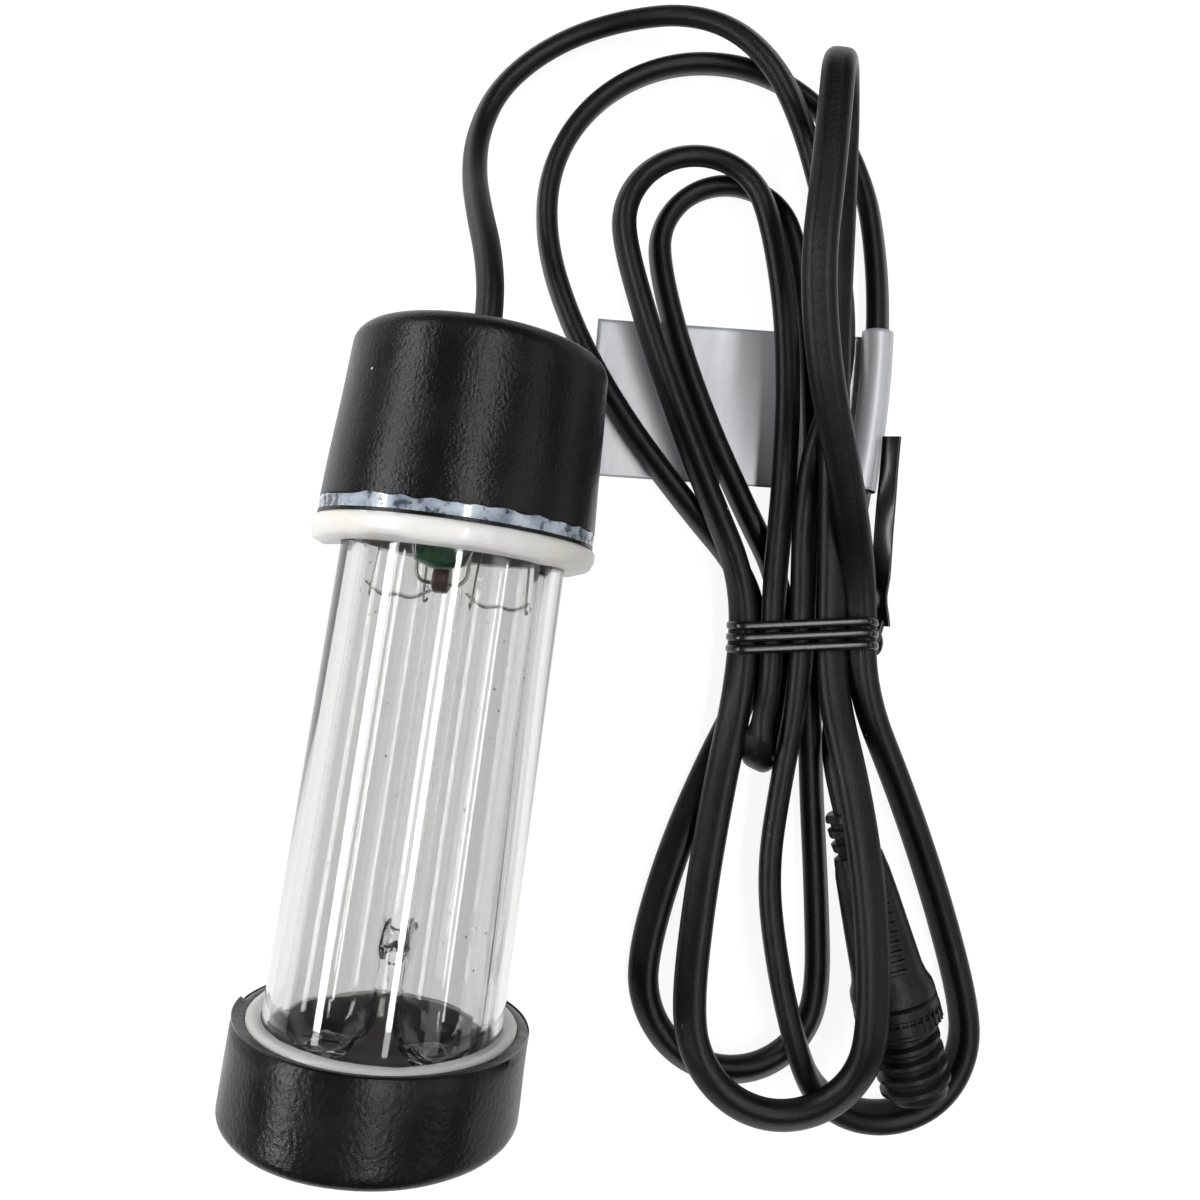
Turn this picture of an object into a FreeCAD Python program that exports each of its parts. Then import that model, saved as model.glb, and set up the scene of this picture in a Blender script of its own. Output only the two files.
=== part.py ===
"""Submersible germicidal lamp on its side, with its cord tied in a loose hank.

A clear glass sleeve is closed by two black push-on caps over white silicone seals. It holds a
twin-tube lamp with a filament in each tube, and the lamp's starter circuit. A flat twin cord
leaves the end of the top cap, arches over and is tied at the waist into a hank of four turns.
It ends in a screw connector.

Millimetres. +Y runs along the lamp's axis towards the cord, +Z is up, and the caps stand on Z = 0.
The origin is under the middle of the lamp. The hank lies on the +X side.
"""

import FreeCAD
import Part

import math
import os
import re

import Sketcher
from FreeCAD import Placement, Rotation, Vector

UP = Vector(0, 0, 1)
RIGHT = Vector(1, 0, 0)
ALONG = Vector(0, 1, 0)

# Driving sizes, in millimetres, degrees and counts; one that starts with = follows the others
SIZES = [
    ("total_length", 127.0, "lamp over both caps"),
    ("glass_radius", 19.0, "outside of the sleeve: 38 mm tubing"),
    ("seal_thick", 2.4, "silicone between the sleeve and the bottom cap's wall"),
    ("cap_radius", "=glass_radius + seal_thick + bottom_cap_wall", "both caps at their rims"),
    ("fit_gap", 0.05, "clearance where one piece seats in another"),
    ("bottom_cap_length", 15.0, ""),
    ("bottom_cap_wall", 2.0, ""),
    ("bottom_cap_floor", 2.5, ""),
    ("bottom_cap_round", 1.8, "outer edge of the closed end"),
    ("top_cap_length", 33.2, ""),
    ("top_cap_wall", 2.4, ""),
    ("top_cap_end", 3.0, "thickness of the closed end"),
    ("top_cap_draft", 1.1, "how far the wall draws in towards its end"),
    ("top_cap_nose_radius", "=cap_radius - top_cap_draft", "where that draft ends"),
    ("top_cap_round", 3.6, "outer edge of the closed end"),
    ("film_width", 2.3, "clear film band at the top cap's rim"),
    ("film_thickness", 0.2, ""),
    ("film_lip", 0.5, "black line left between film and rim"),
    ("glass_wall", 1.8, ""),
    ("glass_tuck", 14.0, "length of sleeve inside the top cap"),
    ("glass_edge_round", 0.5, "fire-polished ends"),
    ("seal_lip", 1.5, "silicone under the sleeve's lower end"),
    ("seal_lip_width", 2.8, "how far that lip reaches in"),
    ("seal_proud", 0.4, "silicone above the bottom cap's rim"),
    ("bead_bulge", 0.5, "how far the silicone bead stands out past the top cap"),
    ("bead_radius", "=cap_radius + bead_bulge", ""),
    ("bead_height", 4.2, ""),
    ("bead_round", 1.6, ""),
    ("gland_flange_radius", 7.0, ""),
    ("gland_flange", 2.0, "flange thickness inside the cap"),
    ("gland_neck_radius", 4.6, ""),
    ("gland_proud", 0.6, ""),
    ("potting_length", 8.0, "silicone that fills the cap's end"),
    ("potting_bore", 3.4, "radius of the wire way"),
    ("pin_room", 4.5, "from the potting to the lamp base"),
    ("base_length", 10.0, "lamp base collar"),
    ("base_slack", 0.3, "from the collar to the sleeve's wall"),
    ("socket_depth", 6.0, "how far the tubes go into the collar"),
    ("leg_clear", 0.9, "from the lamp's legs to the sleeve"),
    ("leg_gap", 2.6, "between the lamp's legs"),
    ("tube_radius", "=(glass_radius - glass_wall - leg_clear - leg_gap / 2) / 2", "each leg of the lamp"),
    ("tube_wall", 1.0, ""),
    ("tube_pitch", "=2 * tube_radius + leg_gap", "between the legs' axes"),
    ("tube_tip_gap", 5.6, "from the bottom cap's floor to the tubes' ends"),
    ("tip_radius", 1.3, "sealed-off tip on each end"),
    ("tip_length", 1.9, ""),
    ("bridge_radius", 2.4, "fused bridge between the legs"),
    ("bridge_height", 20.0, "from the tubes' ends to the bridge"),
    ("stem_disc", 1.2, "glass disc that closes the tube's upper end"),
    ("pinch_width", "=tube_radius * 4 / 3", ""),
    ("pinch_thick", 3.0, ""),
    ("pinch_length", 8.0, ""),
    ("filament_drop", 24.6, "from the tube's upper end to the filament"),
    ("coil_clear", 0.5, "from the coil's ends to the tube's wall"),
    ("filament_span", "=2 * (tube_radius - tube_wall - hook_tail - coil_clear)", "between the two hooks"),
    ("filament_sag", 1.3, ""),
    ("filament_wire", 0.38, "radius of the coiled tungsten"),
    ("hook_wire", 0.25, "radius of the lead wires"),
    ("hook_tail", 1.4, "coil left past each hook"),
    ("pin_radius", 0.4, "wires through the collar"),
    ("pin_spread", 5.0, "between the two wires of one tube"),
    ("pin_stand", 1.2, "above the collar"),
    ("core_radius", 0.6, "insulated cores of the cord"),
    ("core_spread", 2.4, ""),
    ("starter_height", 8.6, "starter circuit's leads above the axis"),
    ("starter_spread", 8.4, "between its two leads"),
    ("starter_wire", 0.3, "radius of its leads"),
    ("starter_drop", 27.0, "from the collar's upper face to the leads' end"),
    ("capacitor_width", 9.6, "green dipped film capacitor"),
    ("capacitor_length", 10.4, ""),
    ("capacitor_thick", 4.8, ""),
    ("capacitor_round", 2.1, ""),
    ("capacitor_drop", 14.6, "from the collar's lower face to its far end"),
    ("thermistor_radius", 2.3, "brown starter disc on edge"),
    ("thermistor_thick", 2.6, ""),
    ("cord_tube", 4.6, "round solid with the flat cord's section, 6.0 by 4.0"),
    ("cord_layer", 6.1, "from one layer of the hank to the next"),
    ("cord_rest", 3.6, "centre of the lowest layer above the table"),
    ("slot_pitch", 5.4, "between strands in the waist"),
    ("waist_right", 63.0, "waist of the hank from the lamp's axis"),
    ("waist_along", 21.0, "and along it from the origin"),
    ("waist_half", 9.0, "half the length of the tied waist"),
    ("strand_joint", 4.5, "from the waist to where the lead and the tail begin"),
    ("waist_lean", 4.0, "degrees the waist leans to the left"),
    ("tie_width", 2.3, "flat twist tie"),
    ("tie_thick", 0.6, ""),
    ("tie_pitch", 2.5, "from one wrap to the next"),
    ("tie_wraps", 3, "count of wraps"),
    ("tie_slack", 0.3, "from the cords to the tie"),
    ("knot_radius", 2.2, ""),
    ("knot_length", 4.6, ""),
    ("tail_length", 36.0, "flat tail of the tie"),
    ("tail_height", 7.4, "above the table, over the cord that it lies on"),
    ("tag_length", 54.0, "blank film label, wrapped on one strand"),
    ("tag_height", 32.0, ""),
    ("tag_film", 0.3, "film thickness"),
    ("tag_bore", 2.9, "radius inside the wrap"),
    ("tag_up", 63.0, "middle of the label along the lamp"),
    ("tag_lean", 3.0, "degrees"),
    ("plug_right", 74.5, "where the cord enters the connector"),
    ("plug_along", -9.2, ""),
    ("plug_turn", 20.0, "degrees that the connector points off the lamp's axis"),
    ("relief_radius", 4.3, ""),
    ("relief_length", 9.0, ""),
    ("relief_groove", 0.8, ""),
    ("relief_slots", 3, "count"),
    ("handle_thin", 4.7, "connector handle's radius at the cord"),
    ("handle_thick", 6.4, "and at the shoulder"),
    ("handle_length", 20.0, ""),
    ("handle_bore", 2.6, ""),
    ("shoulder_radius", 7.5, ""),
    ("shoulder_length", 8.0, ""),
    ("shoulder_slope", 2.4, ""),
    ("spigot_radius", 5.0, "under the ring and inside the barrel"),
    ("ring_length", 4.6, "ribbed ring on the shoulder"),
    ("barrel_root", 5.4, ""),
    ("barrel_crest", 6.3, ""),
    ("barrel_length", 12.0, ""),
    ("barrel_pitch", 2.3, ""),
    ("barrel_ridges", 4, "count"),
    ("barrel_bore", 4.2, ""),
    ("gasket_wire", 0.55, "section radius of the rubber ring"),
    ("contact_radius", 0.9, ""),
    ("contact_spread", 3.6, ""),
    ("rib_count", 6, "bars in each grip panel"),
    ("rib_pitch", 2.1, ""),
    ("rib_width", 1.1, ""),
    ("rib_span", 5.4, ""),
    ("rib_proud", 0.5, ""),
]

# A strand crosses the waist in a slot: its place across the waist in slot pitches, and its layer
SLOTS = {
    "A": (-2.0, 1), "B": (-1.0, 1), "C": (0.0, 1), "D": (1.0, 1), "E": (2.0, 1),
    "a": (-1.5, 0), "b": (-0.5, 0), "c": (0.5, 0), "d": (1.5, 0),
}

# Loops of the hank, from the lead to the tail. Each leaves by one slot and comes back by the next,
# above the waist (side 1) or below it (side -1). Its lean to the right and the roll of its plane are
# in degrees, its reach and width in millimetres. Its layers are those of the leg that leaves, of the
# crown and of the leg that comes back, and its climb says between which shares of a leg the height
# changes. A hump lifts a leg's middle and a bow shifts it to the right, for each leg.
LOOPS = [
    {"slots": "CE", "side": -1, "lean": 17.8, "reach": 86.4, "width": 32.0, "layers": (1.15, 0.0, 0.0),
     "climb": (0.1, 0.8), "bow": (-3.0, 0.0)},
    {"slots": "ED", "side": 1, "lean": -2.7, "reach": 105.5, "width": 22.0, "roll": 105.0,
     "layers": (3.0, 3.0, 3.0), "climb": (0.0, 1.0), "hump": (12.8, 3.8), "bow": (-5.4, -1.0)},
    {"slots": "DA", "side": -1, "lean": 1.7, "reach": 81.5, "width": 31.0, "layers": (2.1, 1.45, 1.0)},
    {"slots": "AB", "side": 1, "lean": -20.3, "reach": 96.5, "width": 29.0, "layers": (1.0, 1.0, 1.0)},
    {"slots": "Bb", "side": -1, "lean": -13.0, "reach": 24.0, "width": 10.6, "roll": -68.0,
     "layers": (0.62, 0.62, 0.62)},
    {"slots": "bc", "side": 1, "lean": -16.0, "reach": 92.0, "width": 28.0, "layers": (0.0, 0.0, 0.0)},
    {"slots": "ca", "side": -1, "lean": -5.3, "reach": 78.9, "width": 32.6, "layers": (0.0, 0.0, 0.0),
     "bow": (-3.0, 0.0)},
    {"slots": "ad", "side": 1, "lean": -18.0, "reach": 120.0, "width": 66.0, "layers": (0.0, 0.0, 0.0)},
]
LEG_RUN = 17.0  # about the length of a run in a leg, in millimetres
CROWN_STEPS = 6
MARKED_LOOP = 7  # the loop whose right leg carries the label

# The cord's first arch, from the gland to the waist: right, along and up, in millimetres
LEAD_ROUTE = [
    (0.0, 71.0, 23.4),
    (-2.4, 82.0, 20.8),
    (-6.6, 92.5, 14.8),
    (-10.2, 103.0, 8.4),
    (-11.6, 113.5, 4.6),
    (-9.4, 123.5, 3.7),
    (-3.2, 132.0, 3.6),
    (5.8, 138.6, 3.9),
    (16.6, 142.2, 5.4),
    (28.0, 142.4, 8.6),
    (38.4, 138.8, 10.6),
    (47.2, 131.4, 10.4),
    (53.8, 121.8, 7.2),
    (58.8, 111.2, 4.2),
    (62.8, 99.6, 3.6),
    (65.6, 87.6, 3.7),
    (66.3, 76.0, 5.2),
    (64.6, 65.0, 8.6),
    (61.7, 54.0, 9.3),
]

LABELS = []


def bound(text):
    """The expression with each size name referred to the sheet."""
    return re.sub(r"[a-z_]+", lambda word: "sizes." + word.group(0), text)


def make_sheet(doc):
    """Writes the driving sizes into the spreadsheet that the whole model is bound to."""
    sheet = doc.addObject("Spreadsheet::Sheet", "sizes")
    for row, (alias, value, note) in enumerate(SIZES, start=1):
        sheet.set(f"A{row}", alias)
        sheet.set(f"B{row}", str(value))
        sheet.set(f"C{row}", note)
        sheet.setAlias(f"B{row}", alias)
    doc.recompute()
    return sheet


doc = FreeCAD.newDocument("germicidal_lamp")
sheet = make_sheet(doc)


def size(text):
    """The value of an expression in size names."""
    return float(sheet.evalExpression(bound(text)))


def keep(piece, name):
    """Marks a finished piece as a sub-part with its own file."""
    piece.Label = name
    LABELS.append(piece)
    return piece


def laid_down(piece):
    """Turns a piece made along Z so that it lies along +Y at the lamp's axis."""
    piece.Placement = Placement(Vector(0, 0, size("cap_radius")), Rotation(RIGHT, -90))
    piece.setExpression("Placement.Base.z", bound("cap_radius"))
    return piece


def turned(name, outline):
    """A body turned from a closed outline of (radius, station) expressions."""
    body = doc.addObject("PartDesign::Body", name)
    sketch = body.newObject("Sketcher::SketchObject", name + "_outline")
    plane = next(face for face in body.Origin.OriginFeatures if face.Role == "XZ_Plane")
    sketch.AttachmentSupport = [(plane, "")]
    sketch.MapMode = "FlatFace"
    corners = [Vector(size(radius), size(station), 0) for radius, station in outline]
    count = len(corners)
    for index in range(count):
        sketch.addGeometry(Part.LineSegment(corners[index], corners[(index + 1) % count]), False)
    for index in range(count):
        following = (index + 1) % count
        sketch.addConstraint(Sketcher.Constraint("Coincident", index, 2, following, 1))
    for index, (radius, station) in enumerate(outline):
        for kind, text, value in (("DistanceX", radius, corners[index].x), ("DistanceY", station, corners[index].y)):
            number = sketch.addConstraint(Sketcher.Constraint(kind, -1, 1, index, 1, value))
            sketch.setExpression(f"Constraints[{number}]", bound(text))
    turn = body.newObject("PartDesign::Revolution", name + "_turn")
    turn.Profile = sketch
    turn.ReferenceAxis = (sketch, ["V_Axis"])
    turn.Angle = 360
    doc.recompute()
    return body


def ring_edges(shape, radius, station):
    """Names of the full-circle edges of that radius at that station."""
    names = []
    for number, edge in enumerate(shape.Edges, start=1):
        reach = edge.BoundBox
        if abs(reach.ZMin - station) < 1e-4 and abs(reach.ZMax - station) < 1e-4:
            if abs(reach.XMax - radius) < 1e-4:
                names.append(f"Edge{number}")
    return names


def rounded(body, rings):
    """Rounds ring edges of a turned body, each given as (radius, station, rounding)."""
    for number, (radius, station, rounding) in enumerate(rings):
        base = body.Tip
        fillet = body.newObject("PartDesign::Fillet", f"{body.Name}_round_{number}")
        fillet.Base = (base, ring_edges(base.Shape, size(radius), size(station)))
        fillet.Radius = size(rounding)
        fillet.setExpression("Radius", bound(rounding))
        doc.recompute()
    return body


def rod(name, radius, length, right, station, height):
    """A cylinder along +Y whose base centre is given by expressions in the row's frame."""
    piece = doc.addObject("Part::Cylinder", name)
    piece.Placement = Placement(Vector(size(right), size(station), size(height)), Rotation(RIGHT, -90))
    for prop, text in (
        ("Radius", radius),
        ("Height", length),
        ("Placement.Base.x", right),
        ("Placement.Base.y", station),
        ("Placement.Base.z", height),
    ):
        piece.setExpression(prop, bound(text))
    return piece


def block(name, spans, corner):
    """A box with its lowest corner and its three spans given by expressions."""
    piece = doc.addObject("Part::Box", name)
    for prop, text in zip(("Length", "Width", "Height"), spans):
        piece.setExpression(prop, bound(text))
    for prop, text in zip("xyz", corner):
        piece.setExpression("Placement.Base." + prop, bound(text))
    return piece


def ball(name, radius, right, station, height):
    """A sphere whose centre is given by expressions."""
    piece = doc.addObject("Part::Sphere", name)
    for prop, text in (
        ("Radius", radius),
        ("Placement.Base.x", right),
        ("Placement.Base.y", station),
        ("Placement.Base.z", height),
    ):
        piece.setExpression(prop, bound(text))
    return piece


def joined(name, *pieces):
    """The pieces as one solid."""
    fuse = doc.addObject("Part::MultiFuse", name)
    fuse.Shapes = list(pieces)
    fuse.Refine = True
    return fuse


def less(name, base, *tools):
    """The base with the tools cut away."""
    tool = tools[0] if len(tools) == 1 else joined(name + "_tools", *tools)
    cut = doc.addObject("Part::Cut", name)
    cut.Base = base
    cut.Tool = tool
    return cut


def path_of(points):
    """A wire of straight runs joined by tangent arcs, each as large as its two runs allow."""
    edges = []
    radii = []
    start = points[0]
    for before, corner, after in zip(points, points[1:], points[2:]):
        inward = (corner - before).normalize()
        outward = (after - corner).normalize()
        turn = inward.getAngle(outward)
        if turn < 0.004:
            continue
        setback = 0.45 * min((corner - before).Length, (after - corner).Length)
        radius = setback / math.tan(turn / 2)
        radii.append(radius)
        enter = corner - inward * setback
        leave = corner + outward * setback
        middle = corner + (outward - inward).normalize() * (radius / math.cos(turn / 2) - radius)
        edges.append(Part.LineSegment(start, enter).toShape())
        edges.append(Part.Arc(enter, middle, leave).toShape())
        start = leave
    edges.append(Part.LineSegment(start, points[-1]).toShape())
    return Part.Wire(edges), radii


def swept(points, radius):
    """A round solid along the points, and its path."""
    path, radii = path_of(points)
    section = Part.Wire([Part.Circle(points[0], points[1] - points[0], radius).toShape()])
    solid = path.makePipeShell([section], True, False)
    expected = math.pi * radius * radius * path.Length
    return solid, path, radii, solid.Volume / expected


def shaped(name, shape):
    """A Part::Feature that holds a shape made from the sizes."""
    piece = doc.addObject("Part::Feature", name)
    piece.Shape = shape
    return piece


FAR_END = "-total_length / 2"
FLOOR = "-total_length / 2 + bottom_cap_floor"
BOTTOM_RIM = "-total_length / 2 + bottom_cap_length"
GLASS_LOW = FLOOR + " + seal_lip"
TOP = "total_length / 2"
TOP_RIM = "total_length / 2 - top_cap_length"
CAP_INSIDE = "total_length / 2 - top_cap_end"
GLASS_HIGH = TOP_RIM + " + glass_tuck"
POTTING_LOW = CAP_INSIDE + " - potting_length"
BASE_HIGH = POTTING_LOW + " - pin_room"
BASE_LOW = BASE_HIGH + " - base_length"
TUBE_HIGH = BASE_LOW + " + socket_depth"
TUBE_TIP = FLOOR + " + tube_tip_gap"
TUBE_LOW = TUBE_TIP + " + tip_length"
AXIS = "cap_radius"


def make_caps():
    """Bottom cap, top cap and the film band on the top cap's rim."""
    bottom = turned("bottom_cap", [
        ("0", FAR_END),
        ("cap_radius", FAR_END),
        ("cap_radius", BOTTOM_RIM),
        ("cap_radius - bottom_cap_wall", BOTTOM_RIM),
        ("cap_radius - bottom_cap_wall", FLOOR),
        ("0", FLOOR),
    ])
    rounded(bottom, [("cap_radius", FAR_END, "bottom_cap_round")])
    keep(laid_down(bottom), "bottom_cap")
    groove = "cap_radius - film_thickness - fit_gap"
    groove_low = TOP_RIM + " + film_lip"
    groove_high = groove_low + " + film_width"
    top = turned("top_cap", [
        ("gland_neck_radius", CAP_INSIDE),
        ("cap_radius - top_cap_wall", CAP_INSIDE),
        ("cap_radius - top_cap_wall", TOP_RIM),
        ("cap_radius", TOP_RIM),
        ("cap_radius", groove_low),
        (groove, groove_low),
        (groove, groove_high),
        ("cap_radius", groove_high),
        ("top_cap_nose_radius", TOP),
        ("gland_neck_radius", TOP),
    ])
    rounded(top, [("top_cap_nose_radius", TOP, "top_cap_round")])
    keep(laid_down(top), "top_cap")
    band = turned("film_band", [
        (groove + " + fit_gap", groove_low),
        ("cap_radius", groove_low),
        ("cap_radius", groove_high),
        (groove + " + fit_gap", groove_high),
    ])
    keep(laid_down(band), "film_band")


def make_seals_and_glass():
    """Silicone seals in both caps and the sleeve between them."""
    lower = turned("bottom_seal", [
        ("glass_radius - seal_lip_width", FLOOR),
        ("cap_radius - bottom_cap_wall - fit_gap", FLOOR),
        ("cap_radius - bottom_cap_wall - fit_gap", BOTTOM_RIM + " + seal_proud"),
        ("glass_radius + fit_gap", BOTTOM_RIM + " + seal_proud"),
        ("glass_radius + fit_gap", GLASS_LOW),
        ("glass_radius - seal_lip_width", GLASS_LOW),
    ])
    keep(laid_down(lower), "bottom_seal")
    glass = turned("glass_sleeve", [
        ("glass_radius - glass_wall", GLASS_LOW),
        ("glass_radius", GLASS_LOW),
        ("glass_radius", GLASS_HIGH),
        ("glass_radius - glass_wall", GLASS_HIGH),
    ])
    rounded(glass, [("glass_radius", GLASS_HIGH, "glass_edge_round")])
    keep(laid_down(glass), "glass_sleeve")
    upper = turned("top_seal_bead", [
        ("glass_radius + fit_gap", TOP_RIM + " - bead_height"),
        ("bead_radius", TOP_RIM + " - bead_height"),
        ("bead_radius", TOP_RIM),
        ("cap_radius - top_cap_wall - fit_gap", TOP_RIM),
        ("cap_radius - top_cap_wall - fit_gap", GLASS_HIGH),
        ("glass_radius + fit_gap", GLASS_HIGH),
    ])
    rounded(upper, [
        ("bead_radius", TOP_RIM + " - bead_height", "bead_round"),
        ("bead_radius", TOP_RIM, "bead_round"),
    ])
    below = block(
        "under_table",
        ("2 * bead_radius", "2 * bead_height", "bead_radius"),
        ("-bead_radius", TOP_RIM + " - 1.5 * bead_height", "-bead_radius"),
    )
    keep(less("seal_pressed_flat", laid_down(upper), below), "top_seal")


def make_cable_entry():
    """Rubber gland in the top cap's end, and the silicone that fills the cap behind it."""
    bore = "cord_tube / 2 + fit_gap"
    gland = turned("cable_gland", [
        (bore, CAP_INSIDE + " - gland_flange"),
        ("gland_flange_radius", CAP_INSIDE + " - gland_flange"),
        ("gland_flange_radius", CAP_INSIDE),
        ("gland_neck_radius - fit_gap", CAP_INSIDE),
        ("gland_neck_radius - fit_gap", TOP + " + gland_proud"),
        (bore, TOP + " + gland_proud"),
    ])
    keep(laid_down(gland), "cable_gland")
    pocket = CAP_INSIDE + " - gland_flange - fit_gap"
    potting = turned("potting_plug", [
        ("potting_bore", POTTING_LOW),
        ("cap_radius - top_cap_wall - fit_gap", POTTING_LOW),
        ("cap_radius - top_cap_wall - fit_gap", CAP_INSIDE),
        ("gland_flange_radius + fit_gap", CAP_INSIDE),
        ("gland_flange_radius + fit_gap", pocket),
        ("potting_bore", pocket),
    ])
    keep(laid_down(potting), "potting_plug")


def tube_side(side):
    """The expression of a lamp leg's axis: side is -1 on the left and 1 on the right."""
    return f"{side} * tube_pitch / 2"


def make_lamp():
    """Two glass legs with domed ends, the bridge between them, and their stems and filaments."""
    for side, word in ((-1, "left"), (1, "right")):
        centre = tube_side(side)
        dome = TUBE_LOW + " + tube_radius"
        length = f"({TUBE_HIGH}) - ({dome})"
        outer = joined(
            f"tube_{word}_outside",
            rod(f"tube_{word}_barrel", "tube_radius", length, centre, dome, AXIS),
            ball(f"tube_{word}_dome", "tube_radius", centre, dome, AXIS),
            rod(f"tube_{word}_tip", "tip_radius", "tip_length + 1", centre, TUBE_TIP, AXIS),
        )
        inner = joined(
            f"tube_{word}_inside",
            rod(f"tube_{word}_bore", "tube_radius - tube_wall", length + " + 1", centre, dome, AXIS),
            ball(f"tube_{word}_hollow", "tube_radius - tube_wall", centre, dome, AXIS),
        )
        keep(less(f"tube_{word}", outer, inner), f"lamp_tube_{word}")
        disc_low = TUBE_HIGH + " - stem_disc"
        disc = rod(f"stem_{word}_disc", "tube_radius - tube_wall - fit_gap", "stem_disc", centre, disc_low, AXIS)
        pinch = block(
            f"stem_{word}_pinch",
            ("pinch_width", "pinch_length", "pinch_thick"),
            (centre + " - pinch_width / 2", disc_low + " - pinch_length", AXIS + " - pinch_thick / 2"),
        )
        keep(joined(f"stem_{word}", disc, pinch), f"pinch_stem_{word}")
    across = doc.addObject("Part::Cylinder", "bridge_rod")
    across.Placement = Placement(Vector(0, 0, 0), Rotation(ALONG, 90))
    for prop, text in (
        ("Radius", "bridge_radius"),
        ("Height", "tube_pitch"),
        ("Placement.Base.x", "-tube_pitch / 2"),
        ("Placement.Base.y", TUBE_TIP + " + bridge_height"),
        ("Placement.Base.z", AXIS),
    ):
        across.setExpression(prop, bound(text))
    saddles = [
        rod(f"bridge_saddle_{word}", "tube_radius + 0.02", "4 * bridge_radius", tube_side(side),
            TUBE_TIP + " + bridge_height - 2 * bridge_radius", AXIS)
        for side, word in ((-1, "left"), (1, "right"))
    ]
    keep(less("bridge", across, *saddles), "lamp_bridge")


def make_filaments():
    """A sagging coil between two hooked lead wires in each leg."""
    top = size(TUBE_HIGH)
    station = top - size("filament_drop")
    low = top - size("stem_disc + pinch_length")
    half = size("filament_span / 2")
    sag = size("filament_sag")
    tail = size("hook_tail")
    wire = size("hook_wire")
    coil = size("filament_wire")
    height = size(AXIS)
    clear = coil + wire + 0.05
    for side, word in ((-1, "left"), (1, "right")):
        centre = size(tube_side(side))
        shape = [
            (-half - tail, 0.9), (-half, 0.0), (-half / 2, -sag), (0.0, -0.35 * sag),
            (half / 2, -sag), (half, 0.0), (half + tail, 0.9),
        ]
        points = [Vector(centre + across, station + drop, height) for across, drop in shape]
        keep(shaped(f"filament_{word}", swept(points, coil)[0]), f"filament_{word}")
        hooks = []
        for end in (-1, 1):
            foot = centre + end * half
            root = centre + end * (half - 0.8)
            points = [
                Vector(root, low, height),
                Vector(root, low - 4, height),
                Vector(foot, station + 4, height + clear),
                Vector(foot, station - 1.2, height + clear),
            ]
            hooks.append(swept(points, wire)[0])
        keep(shaped(f"hooks_{word}", Part.Compound(hooks)), f"lead_wires_{word}")


def pin_places():
    """Right-hand coordinates of the four wires through the collar."""
    spread = size("pin_spread / 2")
    return [size(tube_side(side)) + end * spread for side in (-1, 1) for end in (-1, 1)]


def make_base():
    """Collar that holds both legs, its wires, the cord's cores and the starter circuit."""
    collar = rod("base_collar", "glass_radius - glass_wall - base_slack", "base_length", "0", BASE_LOW, AXIS)
    tools = []
    for side, word in ((-1, "left"), (1, "right")):
        centre = tube_side(side)
        tools.append(rod(f"socket_{word}", "tube_radius + fit_gap", "socket_depth", centre, BASE_LOW, AXIS))
        for end, mark in ((-1, "inner"), (1, "outer")):
            place = f"{centre} + {end} * pin_spread / 2"
            tools.append(rod(f"pin_way_{word}_{mark}", "pin_radius + fit_gap", "base_length", place, BASE_LOW, AXIS))
        lead = f"{side} * starter_spread / 2"
        tools.append(rod(f"lead_way_{word}", "starter_wire + 0.15", "base_length + 2", lead, BASE_LOW + " - 1",
                         AXIS + " + starter_height"))
    keep(less("lamp_base", collar, *tools), "lamp_base")
    pins = [
        Part.makeCylinder(
            size("pin_radius"), size("base_length - socket_depth + pin_stand"),
            Vector(place, size(TUBE_HIGH), size(AXIS)), ALONG,
        )
        for place in pin_places()
    ]
    keep(shaped("base_pins", Part.Compound(pins)), "base_pins")


def make_wires():
    """Two insulated cores from the cord to the inner pins."""
    cord_end = size(CAP_INSIDE + " - gland_flange")
    pin_top = size(BASE_HIGH + " + pin_stand")
    height = size(AXIS)
    cores = []
    for side in (-1, 1):
        inner = side * size("tube_pitch / 2 - pin_spread / 2")
        start = side * size("core_spread / 2")
        points = [
            Vector(start, cord_end, height),
            Vector(start, cord_end - 3.2, height),
            Vector(start, size(POTTING_LOW) - 0.3, height),
            Vector(inner, pin_top + 1.4, height),
            Vector(inner, pin_top, height),
        ]
        cores.append(swept(points, size("core_radius"))[0])
    keep(shaped("core_wires", Part.Compound(cores)), "core_wires")


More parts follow.
